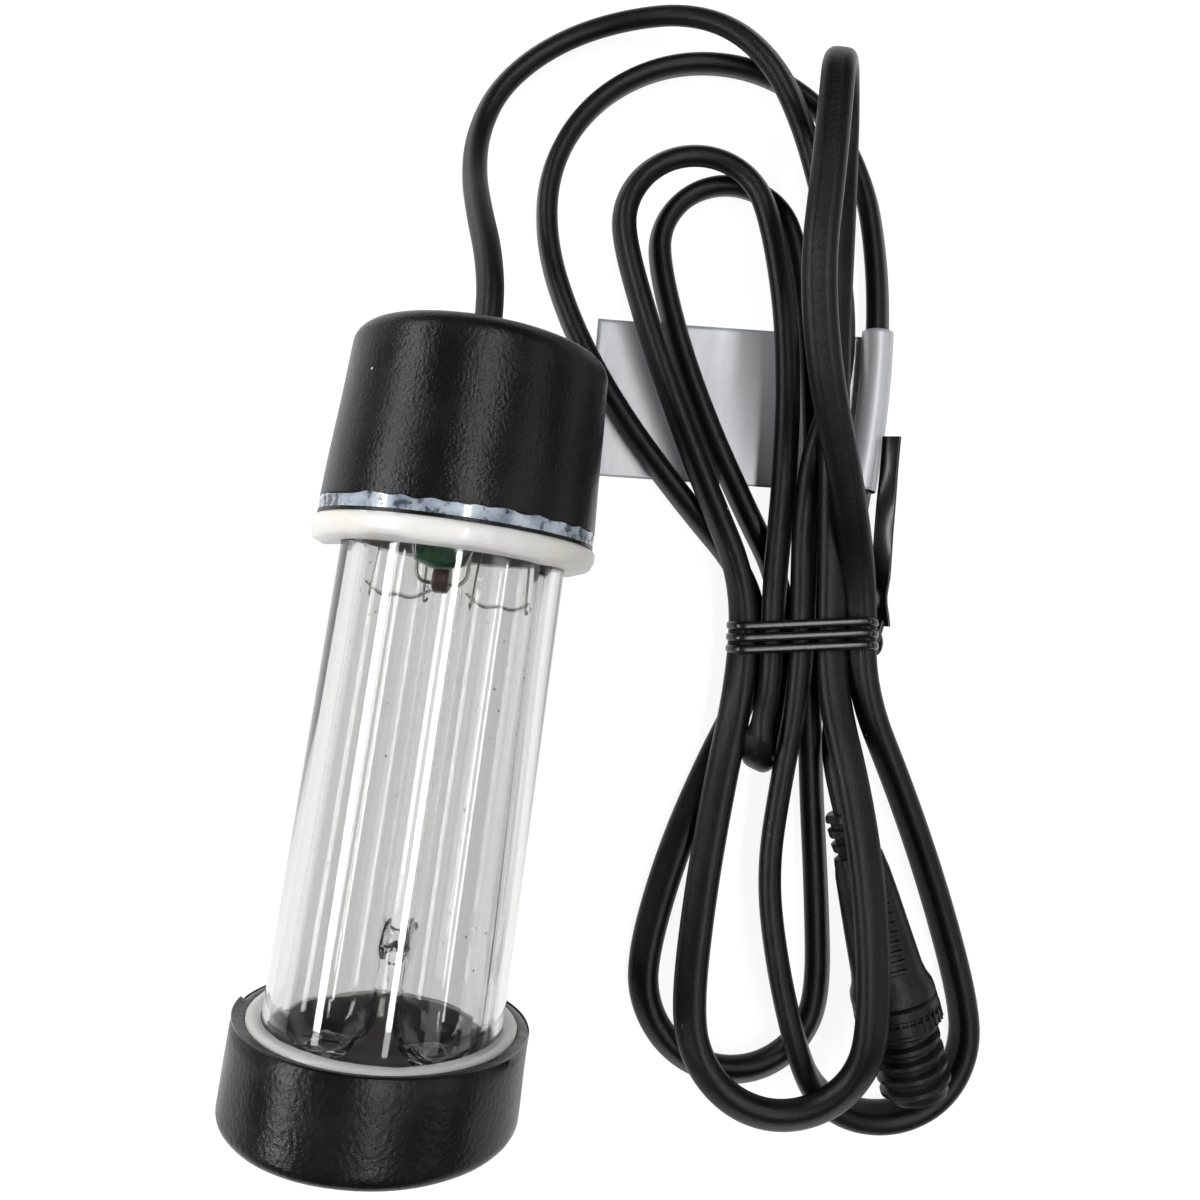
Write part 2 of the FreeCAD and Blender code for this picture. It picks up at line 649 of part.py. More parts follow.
def make_starter():
    """Green film capacitor and brown starter disc on two bent leads below the collar."""
    body = block(
        "capacitor_block",
        ("capacitor_width", "capacitor_length", "capacitor_thick"),
        (
            "-capacitor_width / 2",
            BASE_LOW + " - capacitor_drop",
            AXIS + " + starter_height + starter_wire + 0.1",
        ),
    )
    doc.recompute()
    round_all = doc.addObject("Part::Fillet", "capacitor_round")
    round_all.Base = body
    rounding = size("capacitor_round")
    round_all.Edges = [(number, rounding, rounding) for number in range(1, 13)]
    body.Visibility = False
    keep(round_all, "film_capacitor")
    disc = doc.addObject("Part::Cylinder", "starter_disc")
    disc.Placement = Placement(Vector(0, 0, 0), Rotation(ALONG, 90))
    for prop, text in (
        ("Radius", "thermistor_radius"),
        ("Height", "thermistor_thick"),
        ("Placement.Base.x", "-thermistor_thick / 2"),
        ("Placement.Base.y", BASE_HIGH + " - starter_drop + thermistor_radius / 3"),
        ("Placement.Base.z", AXIS + " + starter_height - starter_wire - 0.5"),
    ):
        disc.setExpression(prop, bound(text))
    keep(disc, "starter_thermistor")
    height = size(AXIS)
    level = size(AXIS + " + starter_height")
    high = size(BASE_HIGH)
    low = high - size("starter_drop")
    leads = []
    for side in (-1, 1):
        outer = side * size("tube_pitch / 2 + pin_spread / 2")
        lead = side * size("starter_spread / 2")
        face = side * size("thermistor_thick / 2")
        points = [
            Vector(outer, high + size("pin_stand"), height),
            Vector(outer, high + size("pin_stand") + 0.9, height),
            Vector(0.72 * outer, high + 2.6, height + 5.2),
            Vector(lead, high + 1.9, level),
            Vector(lead, high - 1.0, level),
            Vector(lead, low + 1.4, level),
            Vector(lead - side * 1.1, low, level),
            Vector(face, low, level),
        ]
        leads.append(swept(points, size("starter_wire"))[0])
    keep(shaped("starter_leads", Part.Compound(leads)), "starter_leads")


def waist_point(slot, side, beyond=0.0):
    """Where a slot's strand leaves the tied waist, above it (side 1) or below it (side -1)."""
    across, layer = SLOTS[slot]
    lean = math.radians(size("waist_lean"))
    middle = Vector(size("waist_right"), size("waist_along"), size("cord_rest") + layer * size("cord_layer"))
    across_way = Vector(math.cos(lean), math.sin(lean), 0)
    up_way = Vector(-math.sin(lean), math.cos(lean), 0)
    return middle + across_way * across * size("slot_pitch") + up_way * side * (size("waist_half") + beyond)


def loop_points(loop):
    """One loop of the hank: a leg that eases out, a round crown and the leg that comes back."""
    side = loop["side"]
    lean = math.radians(loop["lean"])
    roll = math.radians(loop.get("roll", 0.0))
    out_way = Vector(math.sin(lean), side * math.cos(lean), 0)
    flat_way = Vector(math.cos(lean), -side * math.sin(lean), 0)
    cross_way = flat_way * math.cos(roll) + UP * math.sin(roll)
    waist = Vector(size("waist_right"), size("waist_along"), 0)
    radius = loop["width"] / 2
    run = loop["reach"] - radius
    start = waist_point(loop["slots"][0], side)
    finish = waist_point(loop["slots"][1], side)
    hand = 1 if (start - finish).dot(flat_way) > 0 else -1
    rest = size("cord_rest")
    layer = size("cord_layer")
    leaving, crown, coming = [rest + share * layer for share in loop["layers"]]
    begin, end = loop.get("climb", (0.0, 0.4))

    def leg(foot, sign, level, which):
        along = (foot - waist).dot(out_way)
        across = (foot - waist).dot(flat_way)
        target = sign * radius * math.cos(roll)
        height = level + sign * radius * math.sin(roll)
        hump = loop.get("hump", (0.0, 0.0))[which]
        bow = loop.get("bow", (0.0, 0.0))[which]
        count = max(1, round((run - along) / LEG_RUN))
        points = []
        for step in range(count):
            share = step / count
            out = along + (run - along) * share
            side_step = across + (target - across) * math.sin(share * math.pi / 2)
            side_step += bow * math.sin(share * math.pi) ** 2
            climb = min(1.0, max(0.0, (share - begin) / (end - begin)))
            lift = foot.z + (height - foot.z) * climb + hump * math.sin(share * math.pi)
            points.append(waist + out_way * out + flat_way * side_step + UP * lift)
        return points

    bend = []
    for step in range(CROWN_STEPS + 1):
        turn = math.pi * step / CROWN_STEPS
        from_side = leaving if 2 * step <= CROWN_STEPS else coming
        height = from_side + (crown - from_side) * math.sin(turn)
        centre = waist + out_way * run + UP * height
        bend.append(centre + cross_way * hand * radius * math.cos(turn) + out_way * radius * math.sin(turn))
    return leg(start, hand, leaving, 0) + bend + leg(finish, -hand, coming, 1)[::-1]


def least_gap(path, width):
    """The smallest gap between a tube and itself, measured on points a millimetre apart."""
    here = path.discretize(Distance=1.0)
    skip = int(3 * width)
    least = 1e9
    for first in range(len(here)):
        for second in range(first + skip, len(here)):
            offset = here[first] - here[second]
            if abs(offset.x) < 12 and abs(offset.y) < 12:
                least = min(least, offset.Length)
    return least - width


def make_cord():
    """The lead to the waist, the hank in one unbroken tube, and the tail to the connector."""
    radius = size("cord_tube / 2")
    width = size("cord_tube")
    lead_slot = LOOPS[0]["slots"][0]
    tail_slot = LOOPS[-1]["slots"][1]
    joint = size("strand_joint")
    start = Vector(0, size(CAP_INSIDE + " - gland_flange"), size(AXIS))
    join = waist_point(lead_slot, 1, joint)
    lead = [start] + [Vector(*place) for place in LEAD_ROUTE] + [waist_point(lead_slot, 1, 2.4 * joint), join]
    hank = [join]
    for loop in LOOPS:
        hank += loop_points(loop)
    leave = waist_point(tail_slot, -1, joint)
    hank.append(leave)
    plug = Vector(size("plug_right"), size("plug_along"), size("shoulder_radius"))
    turn = math.radians(size("plug_turn"))
    point_way = Vector(math.sin(turn), -math.cos(turn), 0)
    tail = [leave, waist_point(tail_slot, -1, 2.2 * joint), plug - point_way * 1.5 * joint, plug]
    paths = {}
    total = 0.0
    for name, points in (("cord_lead", lead), ("cord_hank", hank), ("cord_tail", tail)):
        solid, path, radii, share = swept(points, radius)
        keep(shaped(name, solid), name)
        paths[name] = path
        total += path.Length
        print(f"{name}: length {path.Length:.1f} mm, least radius {min(radii):.1f} mm, volume share {share:.4f}")
    print("lead radii:", " ".join(f"{radius:.0f}" for radius in path_of(lead)[1]))
    print("tail radii:", " ".join(f"{radius:.0f}" for radius in path_of(tail)[1]))
    print(f"cord length {total:.0f} mm")
    print(f"least gap of the hank to itself {least_gap(paths['cord_hank'], width):.2f} mm")
    return paths


def tie_outline(spare):
    """A bar across the waist that clears the outer strands of both layers, rounded round them."""
    radius = size("cord_tube / 2 + tie_slack") + spare
    pitch = size("slot_pitch")
    rest = size("cord_rest")
    rows = []
    for layer in (0, 1):
        reach = max(across for across, row in SLOTS.values() if row == layer) * pitch
        rows.append(Vector(reach, 0, rest + layer * size("cord_layer")))
    low, high = rows[0].z - radius, rows[1].z + radius
    slope = (rows[1] - rows[0]).normalize()
    outward = Vector(slope.z, 0, -slope.x)
    side = rows[0] + outward * radius

    def edge(height):
        return side.x + slope.x * (height - side.z) / slope.z

    corners = [(-edge(low), low), (edge(low), low), (edge(high), high), (-edge(high), high)]
    face = Part.Face(Part.makePolygon([Vector(x, 0, z) for x, z in corners + corners[:1]]))
    bar = face.extrude(Vector(0, size("tie_width"), 0))
    return bar.makeFillet(radius, [item for item in bar.Edges if abs(item.tangentAt(0).y) > 0.9]), edge


def make_tie():
    """Flat twist tie: wraps round the waist, its knot and its flat tail."""
    thick = size("tie_thick")
    width = size("tie_width")
    outer, outer_edge = tie_outline(thick)
    inner = tie_outline(0.0)[0]
    middle = size("cord_rest + cord_layer / 2")
    half = outer_edge(middle)
    wraps = []
    count = round(size("tie_wraps"))
    for number in range(count):
        wrap = outer.cut(inner)
        wrap.translate(Vector(0, (number - (count - 1) / 2) * size("tie_pitch") - width / 2, 0))
        wraps.append(wrap)
    place = Placement(
        Vector(size("waist_right"), size("waist_along"), 0),
        Rotation(UP, size("waist_lean")),
    )
    tie = shaped("tie_wrap", Part.Compound(wraps))
    tie.Placement = place
    keep(tie, "twist_tie")
    knot = Part.makeCylinder(
        size("knot_radius"), size("knot_length"),
        Vector(half + size("knot_radius + tie_slack"), -size("knot_length") / 2, middle), ALONG,
    )
    knot = knot.makeFillet(0.8, knot.Edges[:1] + knot.Edges[2:3])
    twisted = shaped("tie_knot", knot)
    twisted.Placement = place
    keep(twisted, "tie_knot")
    root = place.multVec(Vector(half + size("knot_radius + tie_slack"), size("knot_length") / 2, size("tail_height")))
    tail = Part.makeBox(width, size("tail_length"), thick, Vector(-width / 2, 0, 0))
    tail = tail.fuse(Part.makeCylinder(width / 2, thick, Vector(0, size("tail_length"), 0), UP)).removeSplitter()
    strip = shaped("tie_strip", tail)
    strip.Placement = Placement(root, Rotation(UP, size("waist_lean")))
    keep(strip, "tie_tail")


def make_tag():
    """Blank film label: a flag on the table, closed round the marked strand."""
    points = loop_points(LOOPS[MARKED_LOOP])
    leg = points[:len(points) // 2:-1]
    middle = size("tag_up")
    height = size("tag_height")

    def on_leg(along):
        for near, far in zip(leg, leg[1:]):
            if near.y <= along <= far.y:
                share = (along - near.y) / (far.y - near.y)
                return near + (far - near) * share
        return leg[-1]

    low_point = on_leg(middle - height / 2)
    high_point = on_leg(middle + height / 2)
    way = (high_point - low_point).normalize()
    film = size("tag_film")
    bore = size("tag_bore")
    sleeve = Part.makeCylinder(bore + film, height, low_point, way)
    hollow = Part.makeCylinder(bore, height + 2, low_point - way, way)
    centre = (low_point + high_point) * 0.5
    base = size("cord_rest") - bore - film
    flag = Part.makeBox(size("tag_length"), height, film, Vector(-size("tag_length"), -height / 2, 0))
    flag.Placement = Placement(Vector(centre.x, centre.y, base), Rotation(UP, size("tag_lean")))
    shape = sleeve.fuse(flag).cut(hollow).removeSplitter()
    keep(shaped("tag", shape), "label_tag")


def at_plug(piece):
    """Puts a piece made along Z on the connector's axis."""
    turn = math.radians(size("plug_turn"))
    way = Vector(math.sin(turn), -math.cos(turn), 0)
    place = Vector(size("plug_right"), size("plug_along"), size("shoulder_radius"))
    piece.Placement = Placement(place, Rotation(UP, way))
    for axis, alias in (("x", "plug_right"), ("y", "plug_along"), ("z", "shoulder_radius")):
        piece.setExpression("Placement.Base." + axis, bound(alias))
    return piece


def make_connector():
    """Screw connector on the cord's end: boot, handle, ring, barrel, insert and contacts."""
    bore = "cord_tube / 2 + fit_gap"
    boot = [(bore, "0"), ("relief_radius", "0")]
    pitch = "(relief_length / (2 * relief_slots + 1))"
    for number in range(round(size("relief_slots"))):
        low = f"{2 * number + 1} * {pitch}"
        high = f"{2 * number + 2} * {pitch}"
        boot += [
            ("relief_radius", low),
            ("relief_radius - relief_groove", low),
            ("relief_radius - relief_groove", high),
            ("relief_radius", high),
        ]
    boot += [("relief_radius", "relief_length"), (bore, "relief_length")]
    keep(at_plug(turned("strain_relief", boot)), "strain_relief")
    shoulder_low = "relief_length + handle_length"
    shoulder_high = shoulder_low + " + shoulder_length"
    ring_low = shoulder_high + " - ring_length"
    barrel_high = shoulder_high + " + barrel_length"
    handle = turned("connector_body", [
        ("handle_bore", "relief_length"),
        ("handle_thin", "relief_length"),
        ("handle_thick", shoulder_low),
        ("shoulder_radius", shoulder_low + " + shoulder_slope"),
        ("shoulder_radius", ring_low),
        ("spigot_radius", ring_low),
        ("spigot_radius", shoulder_high),
        ("handle_bore", shoulder_high),
    ])
    keep(at_plug(handle), "connector_body")
    ring = turned("connector_ring", [
        ("spigot_radius + fit_gap", ring_low),
        ("shoulder_radius - 0.4", ring_low),
        ("shoulder_radius", ring_low + " + 0.4"),
        ("shoulder_radius", shoulder_high + " - 0.4"),
        ("shoulder_radius - 0.4", shoulder_high),
        ("spigot_radius + fit_gap", shoulder_high),
    ])
    keep(at_plug(ring), "connector_ring")
    barrel = [("barrel_bore", shoulder_high), ("barrel_root", shoulder_high)]
    for number in range(round(size("barrel_ridges"))):
        low = f"{shoulder_high} + 1.6 + {number} * barrel_pitch"
        barrel += [
            ("barrel_root", low),
            ("barrel_crest", low + " + barrel_pitch * 0.25"),
            ("barrel_crest", low + " + barrel_pitch * 0.55"),
            ("barrel_root", low + " + barrel_pitch * 0.8"),
        ]
    barrel += [("barrel_root", barrel_high), ("barrel_bore", barrel_high)]
    keep(at_plug(turned("threaded_barrel", barrel)), "threaded_barrel")
    gasket = doc.addObject("Part::Torus", "gasket")
    gasket.setExpression("Radius1", bound("barrel_root + gasket_wire + fit_gap"))
    gasket.setExpression("Radius2", bound("gasket_wire"))
    doc.recompute()
    way = at_plug(gasket).Placement.Rotation.multVec(UP)
    station = size(shoulder_high + " + gasket_wire + 0.02")
    base = Vector(size("plug_right"), size("plug_along"), size("shoulder_radius")) + way * station
    gasket.setExpression("Placement.Base.x", None)
    gasket.setExpression("Placement.Base.y", None)
    gasket.Placement.Base = base
    keep(gasket, "sealing_ring")
    insert = Part.makeCylinder(
        size("barrel_bore - fit_gap"), size("barrel_length - 0.5"), Vector(0, 0, size(shoulder_high)), UP)
    spread = size("contact_spread / 2")
    contacts = []
    for side in (-1, 1):
        low = Vector(side * spread, 0, size(shoulder_high) + 1.5)
        insert = insert.cut(Part.makeCylinder(size("contact_radius + fit_gap"), size("barrel_length"), low, UP))
        sleeve = Part.makeCylinder(size("contact_radius"), size("barrel_length - 2.5"), low, UP)
        contacts.append(sleeve.cut(Part.makeCylinder(size("contact_radius") - 0.3, size("barrel_length"),
                                                     low + UP * 4, UP)))
    keep(at_plug(shaped("contact_insert", insert)), "contact_insert")
    keep(at_plug(shaped("contacts", Part.Compound(contacts))), "contact_sockets")


def make_grip():
    """Raised bars on the upper and lower faces of the connector's handle."""
    low = size("relief_length")
    length = size("handle_length")
    thin = size("handle_thin")
    thick = size("handle_thick")
    proud = size("rib_proud")
    skin = Part.makeCone(thin + proud, thick + proud, length, Vector(0, 0, low), UP)
    core = Part.makeCone(thin + 0.02, thick + 0.02, length, Vector(0, 0, low), UP)
    shell = skin.cut(core)
    bars = []
    count = round(size("rib_count"))
    first = low + length - 2.0 - (count - 1) * size("rib_pitch")
    for face in (-1, 1):
        for number in range(count):
            corner = Vector(-size("rib_span") / 2, 0 if face > 0 else -2 * thick, first + number * size("rib_pitch"))
            bar = Part.makeBox(size("rib_span"), 2 * thick, size("rib_width"), corner)
            bars += shell.common(bar).Solids
    keep(at_plug(shaped("grip", Part.Compound(bars))), "grip_ribs")


def check_and_write():
    """Stops on any failed object, then writes each sub-part to its own file."""
    doc.recompute()
    for piece in doc.Objects:
        for state in ("Invalid", "Error"):
            if state in piece.State:
                raise SystemExit(f"{piece.Name} is {state}")
    os.makedirs("parts", exist_ok=True)
    for piece in LABELS:
        shape = piece.Shape
        if shape.isNull() or not shape.isValid() or shape.Volume <= 0:
            raise SystemExit(f"{piece.Label} has no valid shape")
        shape.exportStep(f"parts/{piece.Label}.step")
        reach = shape.BoundBox
        print(
            f"{piece.Label}: {len(shape.Solids)} solid, {shape.Volume:.1f} mm3, "
            f"x {reach.XMin:.1f} {reach.XMax:.1f}, y {reach.YMin:.1f} {reach.YMax:.1f}, "
            f"z {reach.ZMin:.2f} {reach.ZMax:.2f}"
        )
    print(len(LABELS), "sub-parts")


make_caps()
make_seals_and_glass()
make_cable_entry()
make_lamp()
make_filaments()
make_base()
make_wires()
make_starter()
make_cord()
make_tie()
make_tag()
make_connector()
make_grip()
check_and_write()
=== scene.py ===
# %% [markdown]
# # A submersible germicidal lamp, with its cord tied in a hank
# The real lamp lies on a white table: a clear glass sleeve between two black push-on caps, a twin
# glass lamp inside it, and a flat black cord in a loose hank with a screw connector on its end.
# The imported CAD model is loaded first, because every piece made here takes its place from it.

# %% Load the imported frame
import math

import bmesh
import bpy
import numpy as np
from mathutils import Matrix, Vector, noise


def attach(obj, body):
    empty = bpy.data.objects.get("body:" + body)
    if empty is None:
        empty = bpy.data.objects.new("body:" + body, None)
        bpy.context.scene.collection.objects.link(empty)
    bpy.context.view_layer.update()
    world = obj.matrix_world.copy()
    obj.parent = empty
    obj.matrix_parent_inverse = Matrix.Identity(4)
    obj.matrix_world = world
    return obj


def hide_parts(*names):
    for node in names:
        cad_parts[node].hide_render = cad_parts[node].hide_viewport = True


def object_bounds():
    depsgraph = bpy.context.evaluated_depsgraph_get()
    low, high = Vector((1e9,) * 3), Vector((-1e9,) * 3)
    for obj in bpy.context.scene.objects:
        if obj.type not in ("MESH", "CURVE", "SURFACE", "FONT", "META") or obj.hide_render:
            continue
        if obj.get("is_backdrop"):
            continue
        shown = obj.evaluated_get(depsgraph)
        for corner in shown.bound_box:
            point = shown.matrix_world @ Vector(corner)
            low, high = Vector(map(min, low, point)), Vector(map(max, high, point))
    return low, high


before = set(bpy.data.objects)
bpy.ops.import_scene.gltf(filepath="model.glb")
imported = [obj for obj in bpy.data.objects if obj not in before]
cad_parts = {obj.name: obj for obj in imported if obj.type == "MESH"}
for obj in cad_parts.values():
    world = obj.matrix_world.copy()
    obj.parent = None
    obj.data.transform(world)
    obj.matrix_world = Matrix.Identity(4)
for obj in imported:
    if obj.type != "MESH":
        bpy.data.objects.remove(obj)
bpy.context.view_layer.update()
scene = bpy.context.scene
MM = 0.001

# %% [markdown]
# ## The camera
# A photograph's camera can be found from things of known size in it. Here the outlines of the
# glass and of both caps gave the place, the tilt and the lens. The camera stands 19 cm above the
# table and looks almost straight down, so near things look clearly larger than far ones.

# %% Camera
camera_data = bpy.data.cameras.new("camera")
camera_data.sensor_width = 36.0
camera_data.lens = 29.94
camera_data.shift_x = -0.0212
camera_data.shift_y = -0.0762
camera_data.clip_start = 0.01
camera = bpy.data.objects.new("camera", camera_data)
right = Vector((0.9922, 0.1243, 0.0)).normalized()
forward = Vector((-0.0177, 0.1417, -0.9898)).normalized()
up = right.cross(forward)
camera.matrix_world = Matrix.Translation(Vector((31.2, 13.9, 194.1)) * MM) @ Matrix(
    (right, up, -forward)).transposed().to_4x4()
scene.collection.objects.link(camera)
scene.camera = camera

# %% [markdown]
# ## Light and table
# The photograph was taken under ceiling lights and cut out on white. Long soft lights give the
# bright bands that run down the caps and the glass. The world is nearly black at its rim and dark
# grey overhead, because rubber and glass show what they mirror: in a bright room black rubber turns
# grey and clear glass vanishes. The table looks white to the camera, and still takes a soft shadow.

# %% Light
scene.view_settings.view_transform = "Standard"


def join(tree, *pairs):
    """Links each pair of sockets, from the first to the second."""
    for source, target in pairs:
        tree.links.new(source, target)


world = bpy.data.worlds.new("room")
scene.world = world
world.use_nodes = True
tree = world.node_tree
tree.nodes.clear()
place = tree.nodes.new("ShaderNodeTexCoord")
split = tree.nodes.new("ShaderNodeSeparateXYZ")
ramp = tree.nodes.new("ShaderNodeValToRGB")
ramp.color_ramp.elements[0].position = 0.0
ramp.color_ramp.elements[0].color = (0.025, 0.0245, 0.024, 1)
ramp.color_ramp.elements[1].position = 0.85
ramp.color_ramp.elements[1].color = (0.11, 0.112, 0.116, 1)
room = tree.nodes.new("ShaderNodeBackground")
seen = tree.nodes.new("ShaderNodeBackground")
seen.inputs["Color"].default_value = (1, 1, 1, 1)
rays = tree.nodes.new("ShaderNodeLightPath")
choose = tree.nodes.new("ShaderNodeMixShader")
out = tree.nodes.new("ShaderNodeOutputWorld")
join(tree, (place.outputs["Generated"], split.inputs[0]), (split.outputs["Z"], ramp.inputs[0]),
           (ramp.outputs[0], room.inputs["Color"]),
           (rays.outputs["Is Camera Ray"], choose.inputs[0]), (room.outputs[0], choose.inputs[1]),
           (seen.outputs[0], choose.inputs[2]), (choose.outputs[0], out.inputs[0]))


def strip_light(name, angle, distance, width, length, power):
    """A long soft light over the lamp, turned by an angle from straight overhead."""
    light = bpy.data.lights.new(name, "AREA")
    light.shape = "RECTANGLE"
    light.size = width
    light.size_y = length
    light.energy = power
    lamp = bpy.data.objects.new(name, light)
    turn = math.radians(angle)
    place = Matrix.Translation((distance * math.sin(turn), 0.05, distance * math.cos(turn)))
    lamp.matrix_world = place @ Matrix.Rotation(turn, 4, "Y")
    scene.collection.objects.link(lamp)


strip_light("left_strip", -52, 0.75, 0.10, 1.0, 6.0)
strip_light("ceiling_strip", 15, 0.85, 0.08, 1.1, 5.5)
strip_light("right_strip", 58, 0.9, 0.25, 1.0, 1.6)


# %% [markdown]
# ## Small tools
# Most pieces of this object are turned, so one helper spins an outline round an axis. Sizes are in
# millimetres while a piece is made, and the last step scales them to metres and hangs the piece on
# the frame. Each object stays at the origin, with its place in its mesh, so patterns don't slide.

# %% Helpers for pieces
AXIS = 23.4  # height of the lamp's axis, and the caps' radius
NEAR = 0.002  # how near a vertex has to be to count as on a ring
LEG = 8.8  # from the lamp's axis to the axis of each leg


def add(tree, kind, **values):
    """Adds a node and sets its plain input values by socket name, with spaces for underscores."""
    node = tree.nodes.new(kind)
    for name, value in values.items():
        node.inputs[name.replace("_", " ")].default_value = value
    return node


def as_piece(thing, name, material):
    """Links an object, gives it its finish and lets it ride on the frame."""
    piece = bpy.data.objects.new(name, thing)
    scene.collection.objects.link(piece)
    if material:
        thing.materials.append(material)
    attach(piece, "root")
    return piece


def finished(bm, name, material, crease=35):
    """Turns a bmesh in millimetres into a smooth-shaded piece in metres."""
    bmesh.ops.scale(bm, vec=(MM, MM, MM), verts=bm.verts)
    mesh = bpy.data.meshes.new(name)
    bm.to_mesh(mesh)
    bm.free()
    mesh.shade_smooth()
    mesh.set_sharp_from_angle(angle=math.radians(crease))
    piece = as_piece(mesh, name, material)
    print(f"{name}: {len(mesh.polygons)} faces, {max(piece.dimensions) / MM:.1f} mm long")
    return piece


def lying(across=0.0):
    """The place of something turned round Z that lies along +Y at the lamp's height."""
    return Matrix.Translation((across, 0, AXIS)) @ Matrix.Rotation(-math.pi / 2, 4, "X")


def spun(outline, place, steps, step=None):
    """Spins a closed outline of (radius, station) pairs round Z and puts it in place."""
    bm = bmesh.new()
    corners = [bm.verts.new((radius, 0, station)) for radius, station in outline]
    edges = [bm.edges.new(pair) for pair in zip(corners, corners[1:] + corners[:1])]
    if step:
        for edge in edges:
            cuts = int(edge.calc_length() / step)
            if cuts:
                bmesh.ops.subdivide_edges(bm, edges=[edge], cuts=cuts)
    bmesh.ops.spin(bm, geom=bm.verts[:] + bm.edges[:], cent=(0, 0, 0), axis=(0, 0, 1),
                   angle=2 * math.pi, steps=steps, use_merge=True)
    bmesh.ops.remove_doubles(bm, verts=bm.verts, dist=0.001)
    bmesh.ops.recalc_face_normals(bm, faces=bm.faces)
    bm.transform(place)
    return bm


def arc(across, along, radius, first, last, steps=9):
    """Points of an arc in an outline, from one angle to another."""
    turns = [math.radians(first + (last - first) * step / steps) for step in range(steps + 1)]
    return [(across + radius * math.cos(turn), along + radius * math.sin(turn)) for turn in turns]


def round_rings(bm, place, rings):
    """Bevels the ring edges at each (radius, station, rounding)."""
    back = place.inverted()
    for radius, station, rounding in rings:
        ring = []
        for edge in bm.edges:
            ends = [back @ vert.co for vert in edge.verts]
            if all(abs(end.z - station) < NEAR and abs(math.hypot(end.x, end.y) - radius) < NEAR
                   for end in ends):
                ring.append(edge)
        bmesh.ops.bevel(bm, geom=ring, offset=rounding, affect="EDGES", segments=4, profile=0.5,
                        material=-1)


def unevened(bm, place, amount, scale, seed, outer_from):
    """Moves the outer skin in and out by smooth noise, as hand-finished rubber is."""
    back = place.inverted()
    for vert in bm.verts:
        local = back @ vert.co
        reach = math.hypot(local.x, local.y)
        if reach < outer_from:
            continue
        push = amount * noise.noise(vert.co * scale + Vector((seed, 0, 0)))
        vert.co += place.to_3x3() @ Vector((local.x, local.y, 0)).normalized() * push


# %% [markdown]
# ## Shared surface effects
# Moulded rubber has a leathery grain, handled plastic has dull and shiny patches, and everything in
# a photograph has a little dust on it. Each effect is one node group that puts out a value, and
# each material uses it with its own numbers.

# %% Node groups
def object_place(tree):
    """The place on the piece, in its own coordinates."""
    return tree.nodes.new("ShaderNodeTexCoord").outputs["Object"]


def stretched_noise(tree, place, stretch, **values):
    """Noise drawn out along an axis, as marks of drawing or creases are."""
    mapping = tree.nodes.new("ShaderNodeMapping")
    mapping.inputs["Scale"].default_value = stretch
    noise_node = add(tree, "ShaderNodeTexNoise", **values)
    join(tree, (place, mapping.inputs["Vector"]), (mapping.outputs[0], noise_node.inputs["Vector"]))
    return noise_node.outputs["Fac"]


def math_node(tree, operation, second=None):
    """A Math node with an operation and, if given, its second value."""
    node = tree.nodes.new("ShaderNodeMath")
    node.operation = operation
    if second is not None:
        node.inputs[1].default_value = second
    return node


def new_group(name, inputs, outputs):
    """An empty shader group with float inputs and outputs, and its two end nodes."""
    tree = bpy.data.node_groups.new(name, "ShaderNodeTree")
    for label, value in inputs.items():
        socket = tree.interface.new_socket(name=label, in_out="INPUT",
                                           socket_type="NodeSocketFloat")
        socket.default_value = value
    for label in outputs:
        tree.interface.new_socket(name=label, in_out="OUTPUT", socket_type="NodeSocketFloat")
    return tree, tree.nodes.new("NodeGroupInput"), tree.nodes.new("NodeGroupOutput")


def grain_group():
    """Leathery grain: small pebbles with finer noise on them, as a height from 0 to 1."""
    tree, into, out = new_group("leather_grain", {"Scale": 1200.0, "Fine": 0.35}, ["Height"])
    where = object_place(tree)
    warp = add(tree, "ShaderNodeTexNoise", Scale=300.0, Detail=2.0)
    shift = tree.nodes.new("ShaderNodeMixRGB")
    shift.inputs[0].default_value = 0.0015
    pebbles = tree.nodes.new("ShaderNodeTexVoronoi")
    pebbles.feature = "SMOOTH_F1"
    fine = add(tree, "ShaderNodeTexNoise", Detail=3.0)
    triple = math_node(tree, "MULTIPLY", 2.6)
    blend = tree.nodes.new("ShaderNodeMix")
    join(tree, (where, warp.inputs["Vector"]), (where, shift.inputs[1]),
               (warp.outputs["Color"], shift.inputs[2]),
               (shift.outputs[0], pebbles.inputs["Vector"]), (where, fine.inputs["Vector"]),
               (into.outputs["Scale"], pebbles.inputs["Scale"]),
               (into.outputs["Scale"], triple.inputs[0]),
               (triple.outputs[0], fine.inputs["Scale"]),
               (into.outputs["Fine"], blend.inputs["Factor"]),
               (pebbles.outputs["Distance"], blend.inputs["A"]),
               (fine.outputs["Fac"], blend.inputs["B"]),
               (blend.outputs["Result"], out.inputs["Height"]))
    return tree


def patch_group():
    """Soft patches between two limits, for worn gloss, stains and cloudy colour."""
    tree, into, out = new_group("patches", {"Scale": 60.0, "Low": 0.4, "High": 0.65}, ["Mask"])
    where = object_place(tree)
    clouds = add(tree, "ShaderNodeTexNoise", Detail=5.0, Roughness=0.6)
    cut = tree.nodes.new("ShaderNodeMapRange")
    join(tree, (where, clouds.inputs["Vector"]), (into.outputs["Scale"], clouds.inputs["Scale"]),
               (clouds.outputs["Fac"], cut.inputs["Value"]),
               (into.outputs["Low"], cut.inputs["From Min"]),
               (into.outputs["High"], cut.inputs["From Max"]),
               (cut.outputs["Result"], out.inputs["Mask"]))
    return tree


